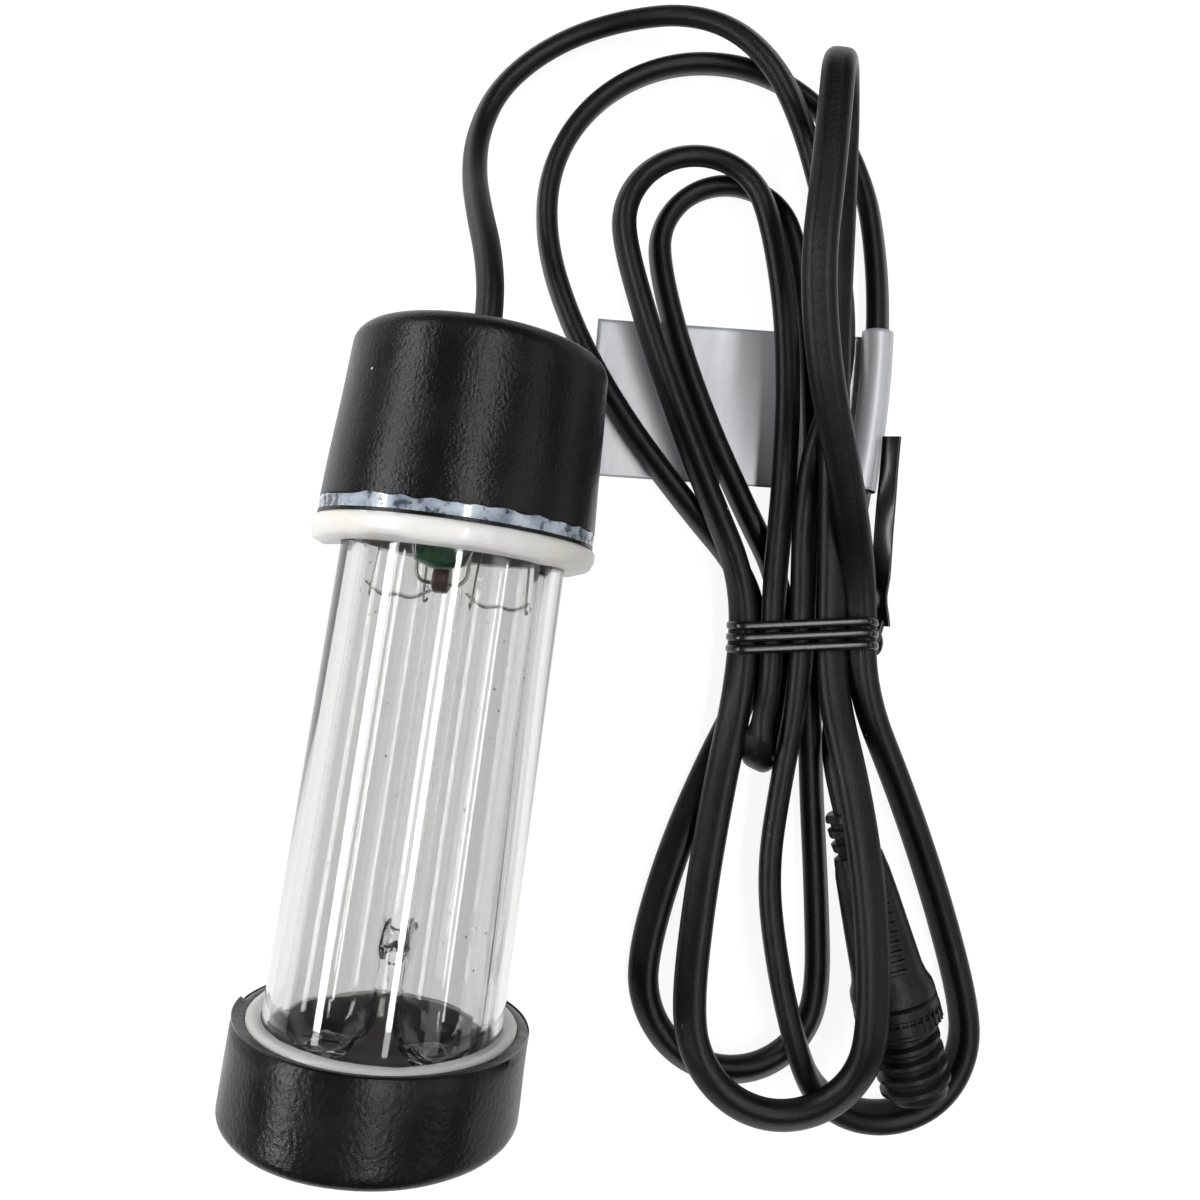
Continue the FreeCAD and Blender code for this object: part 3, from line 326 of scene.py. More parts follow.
def dust_group():
    """Sparse round specks: cells whose random number is high show a dot at their middle."""
    tree, into, out = new_group(
        "dust_specks", {"Scale": 350.0, "Size": 0.12, "Share": 0.04}, ["Mask"])
    where = object_place(tree)
    cells = tree.nodes.new("ShaderNodeTexVoronoi")
    near = math_node(tree, "LESS_THAN")
    pick = tree.nodes.new("ShaderNodeSeparateColor")
    keep, both = math_node(tree, "LESS_THAN"), math_node(tree, "MULTIPLY")
    join(tree, (where, cells.inputs["Vector"]), (into.outputs["Scale"], cells.inputs["Scale"]),
               (cells.outputs["Distance"], near.inputs[0]), (into.outputs["Size"], near.inputs[1]),
               (cells.outputs["Color"], pick.inputs[0]), (pick.outputs[0], keep.inputs[0]),
               (into.outputs["Share"], keep.inputs[1]), (near.outputs[0], both.inputs[0]),
               (keep.outputs[0], both.inputs[1]), (both.outputs[0], out.inputs["Mask"]))
    return tree


GRAIN, PATCHES, DUST = grain_group(), patch_group(), dust_group()


def use(tree, group, **values):
    """Places a shared group in a material with its own values."""
    node = tree.nodes.new("ShaderNodeGroup")
    node.node_tree = group
    for name, value in values.items():
        node.inputs[name].default_value = value
    return node


def between(tree, mask, low, high):
    """A value that goes from low to high with a mask."""
    node = tree.nodes.new("ShaderNodeMapRange")
    node.inputs["To Min"].default_value = low
    node.inputs["To Max"].default_value = high
    join(tree, (mask, node.inputs["Value"]))
    return node.outputs["Result"]


def tinted(tree, mask, first, second):
    """A colour that goes from the first to the second with a mask; either may be a socket."""
    node = tree.nodes.new("ShaderNodeMix")
    node.data_type = "RGBA"
    join(tree, (mask, node.inputs["Factor"]))
    for socket, colour in ((node.inputs[6], first), (node.inputs[7], second)):
        if isinstance(colour, tuple):
            socket.default_value = (*colour, 1.0)
        else:
            join(tree, (colour, socket))
    return node.outputs[2]


def new_finish(name, **values):
    """A material with its Principled BSDF, plain values set straight on the shader."""
    material = bpy.data.materials.new(name)
    material.use_nodes = True
    tree = material.node_tree
    skin = tree.nodes["Principled BSDF"]
    for label, value in values.items():
        skin.inputs[label.replace("_", " ")].default_value = value
    return material, tree, skin


def bumped(tree, skin, height, depth, strength=1.0):
    """Sends a height from 0 to 1 through a Bump node, with its depth in metres."""
    bump = add(tree, "ShaderNodeBump", Strength=strength, Distance=depth)
    join(tree, (height, bump.inputs["Height"]), (bump.outputs["Normal"], skin.inputs["Normal"]))


# %% [markdown]
# ## Finishes
# Black rubber is never quite black: it is a very dark grey that shows its light in broad, grainy
# highlights. The caps get the leathery grain and duller patches where hands have rubbed them.

# %% Black rubber of the caps
def cap_rubber(name, grain, gloss_low, gloss_high, scuffs):
    """Black cap rubber: its grain size, its two roughness levels and how much it is scuffed."""
    material, tree, skin = new_finish(name, Specular_IOR_Level=0.2)
    pebble = use(tree, GRAIN, Scale=grain, Fine=0.4)
    worn = use(tree, PATCHES, Scale=70.0, Low=0.42, High=0.68)
    dust = use(tree, DUST, Scale=420.0, Size=0.13, Share=0.012)
    base = tinted(tree, worn.outputs[0], (0.0035, 0.0035, 0.0037), (0.008, 0.008, 0.0085))
    join(tree,
               (tinted(tree, dust.outputs[0], base, (0.42, 0.42, 0.40)), skin.inputs["Base Color"]),
               (between(tree, worn.outputs[0], gloss_low, gloss_high), skin.inputs["Roughness"]))
    lumps = add(tree, "ShaderNodeTexNoise", Scale=scuffs, Detail=4.0)
    where = object_place(tree)
    join(tree, (where, lumps.inputs["Vector"]))
    rough = add(tree, "ShaderNodeMix", Factor=0.5)
    join(tree, (pebble.outputs[0], rough.inputs["A"]), (lumps.outputs["Fac"], rough.inputs["B"]))
    bumped(tree, skin, rough.outputs["Result"], 0.0003, 0.6)
    return material


top_rubber = cap_rubber("top_rubber", 1900.0, 0.25, 0.34, 260.0)
bottom_rubber = cap_rubber("bottom_rubber", 1300.0, 0.24, 0.38, 140.0)


# %% [markdown]
# Silicone sealant is a soft off-white that light enters a little way, smooth where a finger drew it
# and slightly yellow in places.

# %% Silicone
def silicone():
    material, tree, skin = new_finish(
        "white_silicone", Roughness=0.36, Subsurface_Weight=0.15, Subsurface_Scale=0.002,
        Coat_Weight=0.15)
    stain = use(tree, PATCHES, Scale=45.0, Low=0.56, High=0.78)
    dust = use(tree, DUST, Scale=300.0, Size=0.1, Share=0.02)
    base = tinted(tree, stain.outputs[0], (0.68, 0.68, 0.66), (0.66, 0.62, 0.50))
    join(tree, (tinted(tree, dust.outputs[0], base, (0.25, 0.22, 0.18)), skin.inputs["Base Color"]))
    ripples = use(tree, PATCHES, Scale=160.0, Low=0.2, High=0.8)
    bumped(tree, skin, ripples.outputs[0], 0.0004, 0.5)
    return material


white_silicone = silicone()


# %% [markdown]
# Clear glass is a Principled BSDF with full transmission. Walls are modelled with both their skins,
# because it is the two skins that draw the fine dark lines along a tube's edges. The sleeve and the
# lamp tubes are each slightly wavy along their length, as drawn tubing is.

# %% Glass
def clear_glass(name, tint, wave_scale, wave_depth):
    material, tree, skin = new_finish(
        name, Base_Color=(*tint, 1.0), Roughness=0.0, IOR=1.47, Transmission_Weight=1.0)
    waves = stretched_noise(tree, object_place(tree), (1.0, 0.06, 1.0), Scale=wave_scale,
                            Detail=1.0)
    bumped(tree, skin, waves, wave_depth, 0.3)
    return material


sleeve_glass = clear_glass("sleeve_glass", (0.87, 0.872, 0.865), 130.0, 0.00006)
tube_glass = clear_glass("tube_glass", (0.93, 0.935, 0.93), 200.0, 0.00006)


# %% [markdown]
# The small inner parts each need their own look: grey tungsten, bright steel wire, glossy green
# dip coating, matt brown ceramic, and the plastics that are hidden in the cap. A short helper makes
# a plain finish with cloudy colour, and the green coating gets a clear coat on top.

# %% Finishes of the inner parts
def cloudy(name, first, second, scale=200.0, bump=0.0001, grain=900.0, **values):
    """A finish with two close colours in clouds and a light grain."""
    material, tree, skin = new_finish(name, **values)
    clouds = use(tree, PATCHES, Scale=scale, Low=0.35, High=0.65)
    join(tree, (tinted(tree, clouds.outputs[0], first, second), skin.inputs["Base Color"]))
    pebble = use(tree, GRAIN, Scale=grain, Fine=0.6)
    bumped(tree, skin, pebble.outputs[0], bump, 0.4)
    return material


tungsten = cloudy("tungsten", (0.10, 0.09, 0.08), (0.22, 0.19, 0.16), 900.0, 0.00002,
                  Metallic=0.85, Roughness=0.42)
steel_wire = cloudy("steel_wire", (0.34, 0.31, 0.27), (0.50, 0.46, 0.40), 900.0, 0.00002,
                    Metallic=0.9, Roughness=0.3)
green_dip = cloudy("green_dip", (0.005, 0.045, 0.014), (0.009, 0.07, 0.022), 160.0, 0.00005, 500.0,
                   Roughness=0.2, Coat_Weight=1.0, Coat_Roughness=0.04)
brown_disc = cloudy("brown_disc", (0.035, 0.018, 0.012), (0.07, 0.035, 0.02), 400.0,
                    Roughness=0.4, Coat_Weight=0.4)
ceramic = cloudy("ceramic", (0.62, 0.60, 0.56), (0.72, 0.70, 0.66), Roughness=0.6)
potting = cloudy("potting", (0.30, 0.30, 0.29), (0.38, 0.38, 0.36), Roughness=0.5)
brass = cloudy("brass", (0.55, 0.38, 0.14), (0.68, 0.50, 0.22), Metallic=1.0, Roughness=0.3)
core_sheath = cloudy("core_sheath", (0.12, 0.045, 0.02), (0.16, 0.07, 0.03), Roughness=0.45)
connector_rubber = cloudy("connector_rubber", (0.004, 0.004, 0.0042), (0.009, 0.009, 0.0094),
                          220.0, 0.0003, 700.0, Roughness=0.42, Specular_IOR_Level=0.22)
tie_plastic = cloudy("tie_plastic", (0.003, 0.003, 0.0033), (0.007, 0.007, 0.0075), 300.0, 0.00006,
                     Roughness=0.26)


# %% [markdown]
# The label is silver film with a soft metal shine. Its creases are a bump from stretched noise.
# The band at the cap's rim is clear film whose ragged edges let the black through.

# %% Silver label and clear film
def silver_film():
    material, tree, skin = new_finish("silver_film", Metallic=0.35, Roughness=0.46)
    clouds = use(tree, PATCHES, Scale=60.0, Low=0.3, High=0.7)
    silvery = tinted(tree, clouds.outputs[0], (0.50, 0.505, 0.53), (0.60, 0.605, 0.62))
    join(tree, (silvery, skin.inputs["Base Color"]))
    creases = stretched_noise(tree, object_place(tree), (1.0, 0.25, 1.0), Scale=130.0, Detail=3.0)
    bumped(tree, skin, creases, 0.0006, 0.4)
    return material


def clear_film():
    material, tree, skin = new_finish("clear_film", Roughness=0.22, Coat_Weight=0.6)
    streaks = use(tree, PATCHES, Scale=260.0, Low=0.35, High=0.62)
    bluish = tinted(tree, streaks.outputs[0], (0.10, 0.12, 0.15), (0.36, 0.41, 0.48))
    join(tree, (bluish, skin.inputs["Base Color"]))
    ragged = use(tree, PATCHES, Scale=520.0, Low=0.40, High=0.46)
    join(tree, (between(tree, ragged.outputs[0], 0.25, 1.0), skin.inputs["Alpha"]))
    return material


silver = silver_film()
rim_film = clear_film()


# %% [markdown]
# The cord's sheath is soft vinyl: dark, a little shiny, with fine lines along its length from the
# die it was drawn through. Its own UV map carries the lines round every bend, with V round the
# section and U along it.

# %% Cord vinyl
def cord_vinyl():
    material, tree, skin = new_finish("cord_vinyl", Specular_IOR_Level=0.2)
    along = tree.nodes.new("ShaderNodeUVMap")
    along.uv_map = "along"
    lines = stretched_noise(tree, along.outputs[0], (12.0, 40.0, 1.0), Scale=1.0, Detail=4.0,
                            Roughness=0.6)
    worn = use(tree, PATCHES, Scale=90.0, Low=0.4, High=0.7)
    dust = use(tree, DUST, Scale=300.0, Size=0.09, Share=0.015)
    base = tinted(tree, worn.outputs[0], (0.003, 0.003, 0.0034), (0.007, 0.0072, 0.0078))
    join(tree,
               (tinted(tree, dust.outputs[0], base, (0.35, 0.35, 0.34)), skin.inputs["Base Color"]),
               (between(tree, lines, 0.24, 0.44), skin.inputs["Roughness"]))
    pebble = use(tree, GRAIN, Scale=2200.0, Fine=0.7)
    mixed = add(tree, "ShaderNodeMix", Factor=0.45)
    join(tree, (lines, mixed.inputs["A"]), (pebble.outputs[0], mixed.inputs["B"]))
    bumped(tree, skin, mixed.outputs["Result"], 0.00025, 0.45)
    return material


vinyl = cord_vinyl()


# %% [markdown]
# ## The table
# One large square. Rays that the camera sees, also by mirror and through glass, find it almost
# white, and the rest of its shader is a plain pale surface that takes the shadows.

# %% Table
def table_top():
    material, tree, skin = new_finish("table", Base_Color=(0.88, 0.88, 0.87, 1), Roughness=0.75)
    rays = tree.nodes.new("ShaderNodeLightPath")
    first, second = math_node(tree, "MAXIMUM"), math_node(tree, "MAXIMUM")
    share = math_node(tree, "MULTIPLY", 0.84)
    glow = add(tree, "ShaderNodeEmission", Strength=1.1)
    mix = tree.nodes.new("ShaderNodeMixShader")
    join(tree, (rays.outputs["Is Camera Ray"], first.inputs[0]),
               (rays.outputs["Is Glossy Ray"], first.inputs[1]),
               (first.outputs[0], second.inputs[0]),
               (rays.outputs["Is Transmission Ray"], second.inputs[1]),
               (second.outputs[0], share.inputs[0]), (share.outputs[0], mix.inputs[0]),
               (skin.outputs[0], mix.inputs[1]), (glow.outputs[0], mix.inputs[2]),
               (mix.outputs[0], tree.nodes["Material Output"].inputs[0]))
    return material


bm = bmesh.new()
bmesh.ops.create_grid(bm, x_segments=1, y_segments=1, size=1.5)
floor_mesh = bpy.data.meshes.new("table")
bm.to_mesh(floor_mesh)
bm.free()
floor_mesh.materials.append(table_top())
floor = bpy.data.objects.new("table", floor_mesh)
scene.collection.objects.link(floor)
floor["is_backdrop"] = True


# %% [markdown]
# ## The cord's route
# The cord is one unbroken line of 1.8 metres. It leaves the top cap, arches over, and runs into a
# waist where a twist tie holds it. From there eight loops fan out: four above the waist and four
# below it. Each loop is a leg that eases out, a round crown and a leg that comes back, so a few
# numbers per loop say its lean, reach, width and height. These are the numbers of the CAD model,
# with the cord half a millimetre lower, so that its flat section stands on the table on its edge.

# %% Route of the cord
# Height of the lowest strand, the step to the next layer, the strands' spacing, half the waist
REST, LAYER, PITCH, WAIST_HALF = 3.1, 6.15, 5.4, 9.0
WAIST = Vector((63.0, 21.0, 0.0))
LEAN = math.radians(4.0)
SLOTS = {
    "A": (-2.0, 1), "B": (-1.0, 1), "C": (0.0, 1), "D": (1.0, 1), "E": (2.0, 1),
    "a": (-1.5, 0), "b": (-0.5, 0), "c": (0.5, 0), "d": (1.5, 0),
}
LOOPS = [
    {"slots": "CE", "side": -1, "lean": 17.8, "reach": 86.4, "width": 32.0,
     "layers": (1.15, 0.0, 0.0),
     "climb": (0.1, 0.8), "bow": (-3.0, 0.0)},
    {"slots": "ED", "side": 1, "lean": -2.7, "reach": 105.5, "width": 22.0, "roll": 105.0,
     "layers": (3.0, 3.0, 3.0), "climb": (0.0, 1.0), "hump": (12.8, 3.8), "bow": (-5.4, -1.0)},
    {"slots": "DA", "side": -1, "lean": 1.7, "reach": 81.5, "width": 31.0,
     "layers": (2.1, 1.45, 1.0)},
    {"slots": "AB", "side": 1, "lean": -20.3, "reach": 96.5, "width": 29.0,
     "layers": (1.0, 1.0, 1.0)},
    {"slots": "Bb", "side": -1, "lean": -13.0, "reach": 24.0, "width": 10.6, "roll": -68.0,
     "layers": (0.62, 0.62, 0.62)},
    {"slots": "bc", "side": 1, "lean": -16.0, "reach": 92.0, "width": 28.0,
     "layers": (0.0, 0.0, 0.0)},
    {"slots": "ca", "side": -1, "lean": -5.3, "reach": 78.9, "width": 32.6,
     "layers": (0.0, 0.0, 0.0),
     "bow": (-3.0, 0.0)},
    {"slots": "ad", "side": 1, "lean": -18.0, "reach": 120.0, "width": 66.0,
     "layers": (0.0, 0.0, 0.0)},
]
LEAD = [
    (0.0, 58.5, AXIS), (0.0, 71.0, AXIS), (-2.4, 82.0, 20.8), (-6.6, 92.5, 14.8),
    (-10.2, 103.0, 8.2), (-11.6, 113.5, 4.2), (-9.4, 123.5, 3.2), (-3.2, 132.0, 3.1),
    (5.8, 138.6, 3.5), (16.6, 142.2, 5.2), (28.0, 142.4, 8.6), (38.4, 138.8, 10.6),
    (47.2, 131.4, 10.2), (53.8, 121.8, 6.8), (58.8, 111.2, 3.8),
    (62.8, 99.6, 3.2), (65.6, 87.6, 3.4), (66.3, 76.0, 5.0), (64.6, 65.0, 8.6), (61.7, 54.0, 9.2),
]
PLUG = Vector((74.5, -9.2, 7.5))
PLUG_TURN = math.radians(20.0)
PLUG_WAY = Vector((math.sin(PLUG_TURN), -math.cos(PLUG_TURN), 0.0))


def waist_point(slot, side, beyond=0.0):
    """Where a slot's strand leaves the tied waist, above it (1) or below it (-1)."""
    across, layer = SLOTS[slot]
    across_way = Vector((math.cos(LEAN), math.sin(LEAN), 0))
    up_way = Vector((-math.sin(LEAN), math.cos(LEAN), 0))
    height = Vector((0, 0, REST + layer * LAYER))
    return WAIST + height + across_way * across * PITCH + up_way * side * (WAIST_HALF + beyond)


def loop_points(loop):
    """One loop of the hank, from the strand that leaves the waist to the one that comes back."""
    side = loop["side"]
    lean, roll = math.radians(loop["lean"]), math.radians(loop.get("roll", 0.0))
    out_way = Vector((math.sin(lean), side * math.cos(lean), 0))
    flat_way = Vector((math.cos(lean), -side * math.sin(lean), 0))
    cross_way = flat_way * math.cos(roll) + Vector((0, 0, math.sin(roll)))
    radius = loop["width"] / 2
    run = loop["reach"] - radius
    start, finish = (waist_point(slot, side) for slot in loop["slots"])
    hand = 1 if (start - finish).dot(flat_way) > 0 else -1
    leaving, crown, coming = (REST + share * LAYER for share in loop["layers"])
    begin, end = loop.get("climb", (0.0, 0.4))

    def leg(foot, sign, level, which):
        along, across = (foot - WAIST).dot(out_way), (foot - WAIST).dot(flat_way)
        target, height = sign * radius * math.cos(roll), level + sign * radius * math.sin(roll)
        hump, bow = loop.get("hump", (0, 0))[which], loop.get("bow", (0, 0))[which]
        count = max(1, round((run - along) / 17.0))
        points = []
        for share in (step / count for step in range(count)):
            shift = (across + (target - across) * math.sin(share * math.pi / 2)
                     + bow * math.sin(share * math.pi) ** 2)
            climb = min(1.0, max(0.0, (share - begin) / (end - begin)))
            lift = foot.z + (height - foot.z) * climb + hump * math.sin(share * math.pi)
            points.append(WAIST + out_way * (along + (run - along) * share) + flat_way * shift
                          + Vector((0, 0, lift)))
        return points

    bend = []
    for step in range(7):
        turn = math.pi * step / 6
        from_side = leaving if step <= 3 else coming
        height = from_side + (crown - from_side) * math.sin(turn)
        bend.append(WAIST + out_way * (run + radius * math.sin(turn)) + Vector((0, 0, height))
                    + cross_way * hand * radius * math.cos(turn))
    return leg(start, hand, leaving, 0) + bend + leg(finish, -hand, coming, 1)[::-1]


route = [Vector(place) for place in LEAD] + [waist_point("C", 1, 10.8), waist_point("C", 1, 4.5)]
lays = [40.0] * len(route)
# How far the flat section leans from standing on its edge, in degrees: leaving, crown, coming back
LOOP_LAYS = [(10, 35, 30), (80, 85, 80), (80, 60, 70), (20, 45, 30), (10, 10, 10), (15, 25, 15),
             (25, 50, 65), (15, 20, 30)]
for loop, (leaving, crown, coming) in zip(LOOPS, LOOP_LAYS):
    points = loop_points(loop)
    route += points
    for number in range(len(points)):
        share = number / (len(points) - 1)
        lays.append(leaving if share < 0.33 else crown if share < 0.67 else coming)
tail = [waist_point("d", -1, 4.5), waist_point("d", -1, 9.9), PLUG - PLUG_WAY * 6.75,
        PLUG + PLUG_WAY * 4.0]
route += tail
lays += [40.0] * len(tail)
for place in route:
    place.z = max(place.z, REST)
print(len(route), "points on the cord's route")


# %% [markdown]
# ## The cord
# A NURBS curve with those points as its control points gives one smooth line. A round bevel would
# be quick, but this cord is flat, 6 by 4 millimetres, and lies now on its edge and now on its side,
# as the photograph shows. So the line is read from the curve as a mesh, and a flat section is drawn
# along it. At each point the section's width is turned by blending two wishes: a flat cord bends
# about its width, and each strand lies at its own angle to the table.

# %% Smooth line of the cord
def smooth_line(points, resolution=10):
    """Points along a NURBS curve through the route's control points, in metres."""
    curve = bpy.data.curves.new("line", "CURVE")
    curve.dimensions = "3D"
    curve.resolution_u = resolution
    spline = curve.splines.new("NURBS")
    spline.points.add(len(points) - 1)
    for target, point in zip(spline.points, points):
        target.co = (*(point * MM), 1.0)
    spline.order_u = 3
    spline.use_endpoint_u = True
    holder = bpy.data.objects.new("line", curve)
    scene.collection.objects.link(holder)
    mesh = bpy.data.meshes.new_from_object(holder)
    line = np.array([vert.co for vert in mesh.vertices])
    bpy.data.objects.remove(holder)
    bpy.data.meshes.remove(mesh)
    return line


def blurred(values, reach):
    """Smooths a series of numbers along the line."""
    window = np.hanning(2 * reach + 1)
    padded = np.pad(values, reach, mode="edge")
    return np.convolve(padded, window / window.sum(), mode="valid")


def unit(rows):
    """Each row, made one long."""
    return rows / np.linalg.norm(rows, axis=1)[:, None]


def width_ways(line, lay_angles):
    """The direction of the section's width at each point."""
    way = unit(np.gradient(line, axis=0))
    sides = [np.cross(way[0], (0.0, 0.0, 1.0))]
    for direction in way[1:]:
        side = sides[-1] - direction * (sides[-1] @ direction)
        sides.append(side / np.linalg.norm(side))
    side = unit(np.array(sides))
    other = np.cross(way, side)
    steps = np.linalg.norm(np.gradient(line, axis=0), axis=1)
    bend = np.gradient(way, axis=0) / steps[:, None]
    axis = np.cross(way, bend) * 0.006
    upward = np.array((0.0, 0.0, 1.0)) - way * way[:, 2:3]
    level = np.cross(way, upward)
    lay = np.radians(lay_angles)[:, None]
    resting = upward * np.cos(lay) + level * np.sin(lay)
    cosines, sines = np.zeros(len(line)), np.zeros(len(line))
    for wish in (axis, resting):
        first, second = (wish * side).sum(1), (wish * other).sum(1)
        length, angle = np.hypot(first, second), np.arctan2(second, first)
        cosines += length * np.cos(2 * angle)
        sines += length * np.sin(2 * angle)
    turn = 0.5 * np.unwrap(np.arctan2(blurred(sines, 10), blurred(cosines, 10)))
    turn = blurred(turn, 8)
    return side * np.cos(turn)[:, None] + other * np.sin(turn)[:, None], way


line = smooth_line(route)
spread = np.interp(np.linspace(0, len(lays) - 1, len(line)), np.arange(len(lays)), lays)
widths, ways = width_ways(line, blurred(spread, 14))
cord_length = float(np.linalg.norm(np.diff(line, axis=0), axis=1).sum())
print(f"cord: {cord_length:.3f} m along {len(line)} points")


# %% Flat cord
def ribbon(name, line, widths, ways, section, material):
    """A tube whose section, as pairs across the width and the thickness, follows the line."""
    depth = np.cross(ways, widths)
    count, around = len(line), len(section)
    section = np.array(section) * MM
    rings = (line[:, None, :] + widths[:, None, :] * section[None, :, :1]
             + depth[:, None, :] * section[None, :, 1:])
    faces = []
    for ring in range(count - 1):
        base = ring * around
        for number in range(around):
            after = (number + 1) % around
            faces.append((base + number, base + after,
                          base + around + after, base + around + number))
    faces += [tuple(range(around))[::-1], tuple(range((count - 1) * around, count * around))]
    mesh = bpy.data.meshes.new(name)
    mesh.from_pydata(rings.reshape(-1, 3).tolist(), [], faces)
    run = np.concatenate([[0], np.cumsum(np.linalg.norm(np.diff(line, axis=0), axis=1))]) * 100
    layer = mesh.uv_layers.new(name="along")
    corners = np.zeros(len(mesh.loops), dtype=int)
    mesh.loops.foreach_get("vertex_index", corners)
    ring_of, place_of = corners // around, corners % around
    seam = np.arange(len(corners)) % 4
    last = (place_of == 0) & ((seam == 1) | (seam == 2)) & (np.roll(place_of, 1) != 0)
    across = np.where(last, around, place_of) / around
    layer.data.foreach_set("uv", np.stack([run[ring_of], across], 1).ravel().astype(np.float32))
    bm = bmesh.new()
    bm.from_mesh(mesh)
    bmesh.ops.recalc_face_normals(bm, faces=bm.faces)
    bm.to_mesh(mesh)
    bm.free()
    mesh.shade_smooth()
    mesh.set_sharp_from_angle(angle=math.radians(50))
    return as_piece(mesh, name, material)


def stadium(width, thick, steps=8):
    """A flat section with round edges."""
    radius, straight = thick / 2, width / 2 - thick / 2
    points = []
    for side in (1, -1):
        for step in range(steps + 1):
            turn = -math.pi / 2 + math.pi * step / steps
            points.append((side * (straight + radius * math.cos(turn)),
                           side * radius * math.sin(turn)))
    return points


cord = ribbon("cord", line, widths, ways, stadium(6.0, 4.0), vinyl)
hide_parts("cord_lead", "cord_hank", "cord_tail")

# %% [markdown]
# ## The caps
# Each cap is a cup of black rubber, turned from its outline, whose rounded end is an arc. The
# bottom cap's rim gets small bevels. Smooth noise moves the skin by a tenth of a millimetre,
# because a perfectly true cylinder gives a model away. The top cap's wall draws in to its end.

# %% Caps
LAMP = lying()


def kept_above_table(bm):
    """Presses flat whatever would go through the table."""
    for vert in bm.verts:
        vert.co.z = max(vert.co.z, 0.0)


bm = spun([(0, -63.5)] + arc(21.2, -61.3, 2.2, -90, 0, 8) + [
    (AXIS, -48.5), (21.4, -48.5), (21.4, -61.0), (0, -61.0)], LAMP, 192, step=1.2)
round_rings(bm, LAMP, [(AXIS, -48.5, 0.5), (21.4, -48.5, 0.35)])
unevened(bm, LAMP, 0.16, 0.11, 3.0, 22.0)
kept_above_table(bm)
bottom_cap = finished(bm, "bottom_cap_cup", bottom_rubber)
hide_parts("bottom_cap")

bm = spun([(4.6, 60.5), (21.0, 60.5), (21.0, 30.3), (AXIS, 30.3), (AXIS, 30.8), (23.15, 30.8),
           (23.15, 33.1), (AXIS, 33.1)] + arc(18.7, 59.9, 3.6, 0, 90, 12) + [(4.6, 63.5)],
          LAMP, 192)
long_edges = [edge for edge in bm.edges if edge.calc_length() > 6 and
              all(math.hypot(vert.co.x, vert.co.z - AXIS) > 21.5 for vert in edge.verts)]
bmesh.ops.subdivide_edges(bm, edges=long_edges, cuts=14)
unevened(bm, LAMP, 0.14, 0.09, 7.0, 21.0)
kept_above_table(bm)
top_cap = finished(bm, "top_cap_cup", top_rubber)
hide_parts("top_cap")

# %% [markdown]
# The film band is what shows of a clear plastic sleeve in the cap's rim: a thin strip with a wavy
# upper edge. It is turned as well, and then its upper ring is pushed up and down by noise.

# %% Film band
bm = spun([(23.22, 30.85), (23.42, 30.85), (23.42, 33.0), (23.22, 33.0)], LAMP, 320)
for vert in bm.verts:
    if vert.co.y > 32:
        vert.co.y += 0.55 * noise.noise(Vector((vert.co.x, 0, vert.co.z)) * 0.35) - 0.1
band = finished(bm, "film_band_strip", rim_film)
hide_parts("film_band")

# %% [markdown]
# ## The seals
# Silicone squeezed out of a joint makes a soft bead, thick in one place and thin in another. The
# outline is turned in small steps and the skin is pushed about by two sizes of noise. Where the
# bead meets the table it is pressed flat, so no point is let below it.

# %% Silicone seals
bm = spun([(19.05, 26.3), (21.5, 26.0), (23.3, 26.6), (23.9, 28.2), (23.85, 29.4), (23.3, 30.25),
           (20.95, 30.25), (20.95, 44.3), (19.05, 44.3)], LAMP, 240, step=0.9)
for vert in bm.verts:
    reach = math.hypot(vert.co.x, vert.co.z - AXIS)
    if reach > 20.0 and vert.co.y < 30.0:
        way = Vector((vert.co.x, 0, vert.co.z - AXIS)) / reach
        spot = Vector((vert.co.x, vert.co.y * 0.6, vert.co.z))
        vert.co += way * (0.40 * noise.noise(spot * 0.09) + 0.12 * noise.noise(spot * 0.35) + 0.1)
        sag = 0.75 * noise.noise(spot * 0.07 + Vector((5, 0, 0))) + 0.2 * noise.noise(spot * 0.3)
        vert.co.y += sag * ((30.0 - vert.co.y) / 4.0)
kept_above_table(bm)
bmesh.ops.smooth_vert(bm, verts=[vert for vert in bm.verts if vert.co.y < 30], factor=0.5)
top_seal = finished(bm, "top_seal_bead", white_silicone, 60)
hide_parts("top_seal")

bm = spun([(16.2, -61.0), (21.35, -61.0), (21.35, -48.35), (21.0, -48.05), (20.2, -47.95),
           (19.05, -48.2), (19.05, -59.5), (16.2, -59.5)], LAMP, 240, step=1.0)
for vert in bm.verts:
    reach = math.hypot(vert.co.x, vert.co.z - AXIS)
    if vert.co.y > -49.0:
        vert.co.y += 0.35 * noise.noise(vert.co * 0.08) + 0.1 * noise.noise(vert.co * 0.4)
    elif reach < 18.0:
        way = Vector((vert.co.x, 0, vert.co.z - AXIS)) / reach
        vert.co += way * 1.1 * noise.noise(Vector((vert.co.x, 0, vert.co.z)) * 0.12)
bottom_seal = finished(bm, "bottom_seal_ring", white_silicone, 60)
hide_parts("bottom_seal")

# %% [markdown]
# ## The glass
# The sleeve is plain 38 millimetre tubing with fire-polished ends. Each lamp leg is a tube whose
# lower end is melted shut: a dome with a small nib where the glass was drawn off, and a thick,
# uneven bottom inside. That bottom bends light into the swirls that show over the black cap.

# %% Glass sleeve and lamp legs
bm = spun([(17.2, -59.5), (19.0, -59.5), (19.0, 44.3), (17.2, 44.3)], LAMP, 256)
round_rings(bm, LAMP, [
    (19.0, 44.3, 0.5), (19.0, -59.5, 0.4), (17.2, 44.3, 0.4), (17.2, -59.5, 0.4)])
sleeve = finished(bm, "sleeve_tube", sleeve_glass)
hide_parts("glass_sleeve")


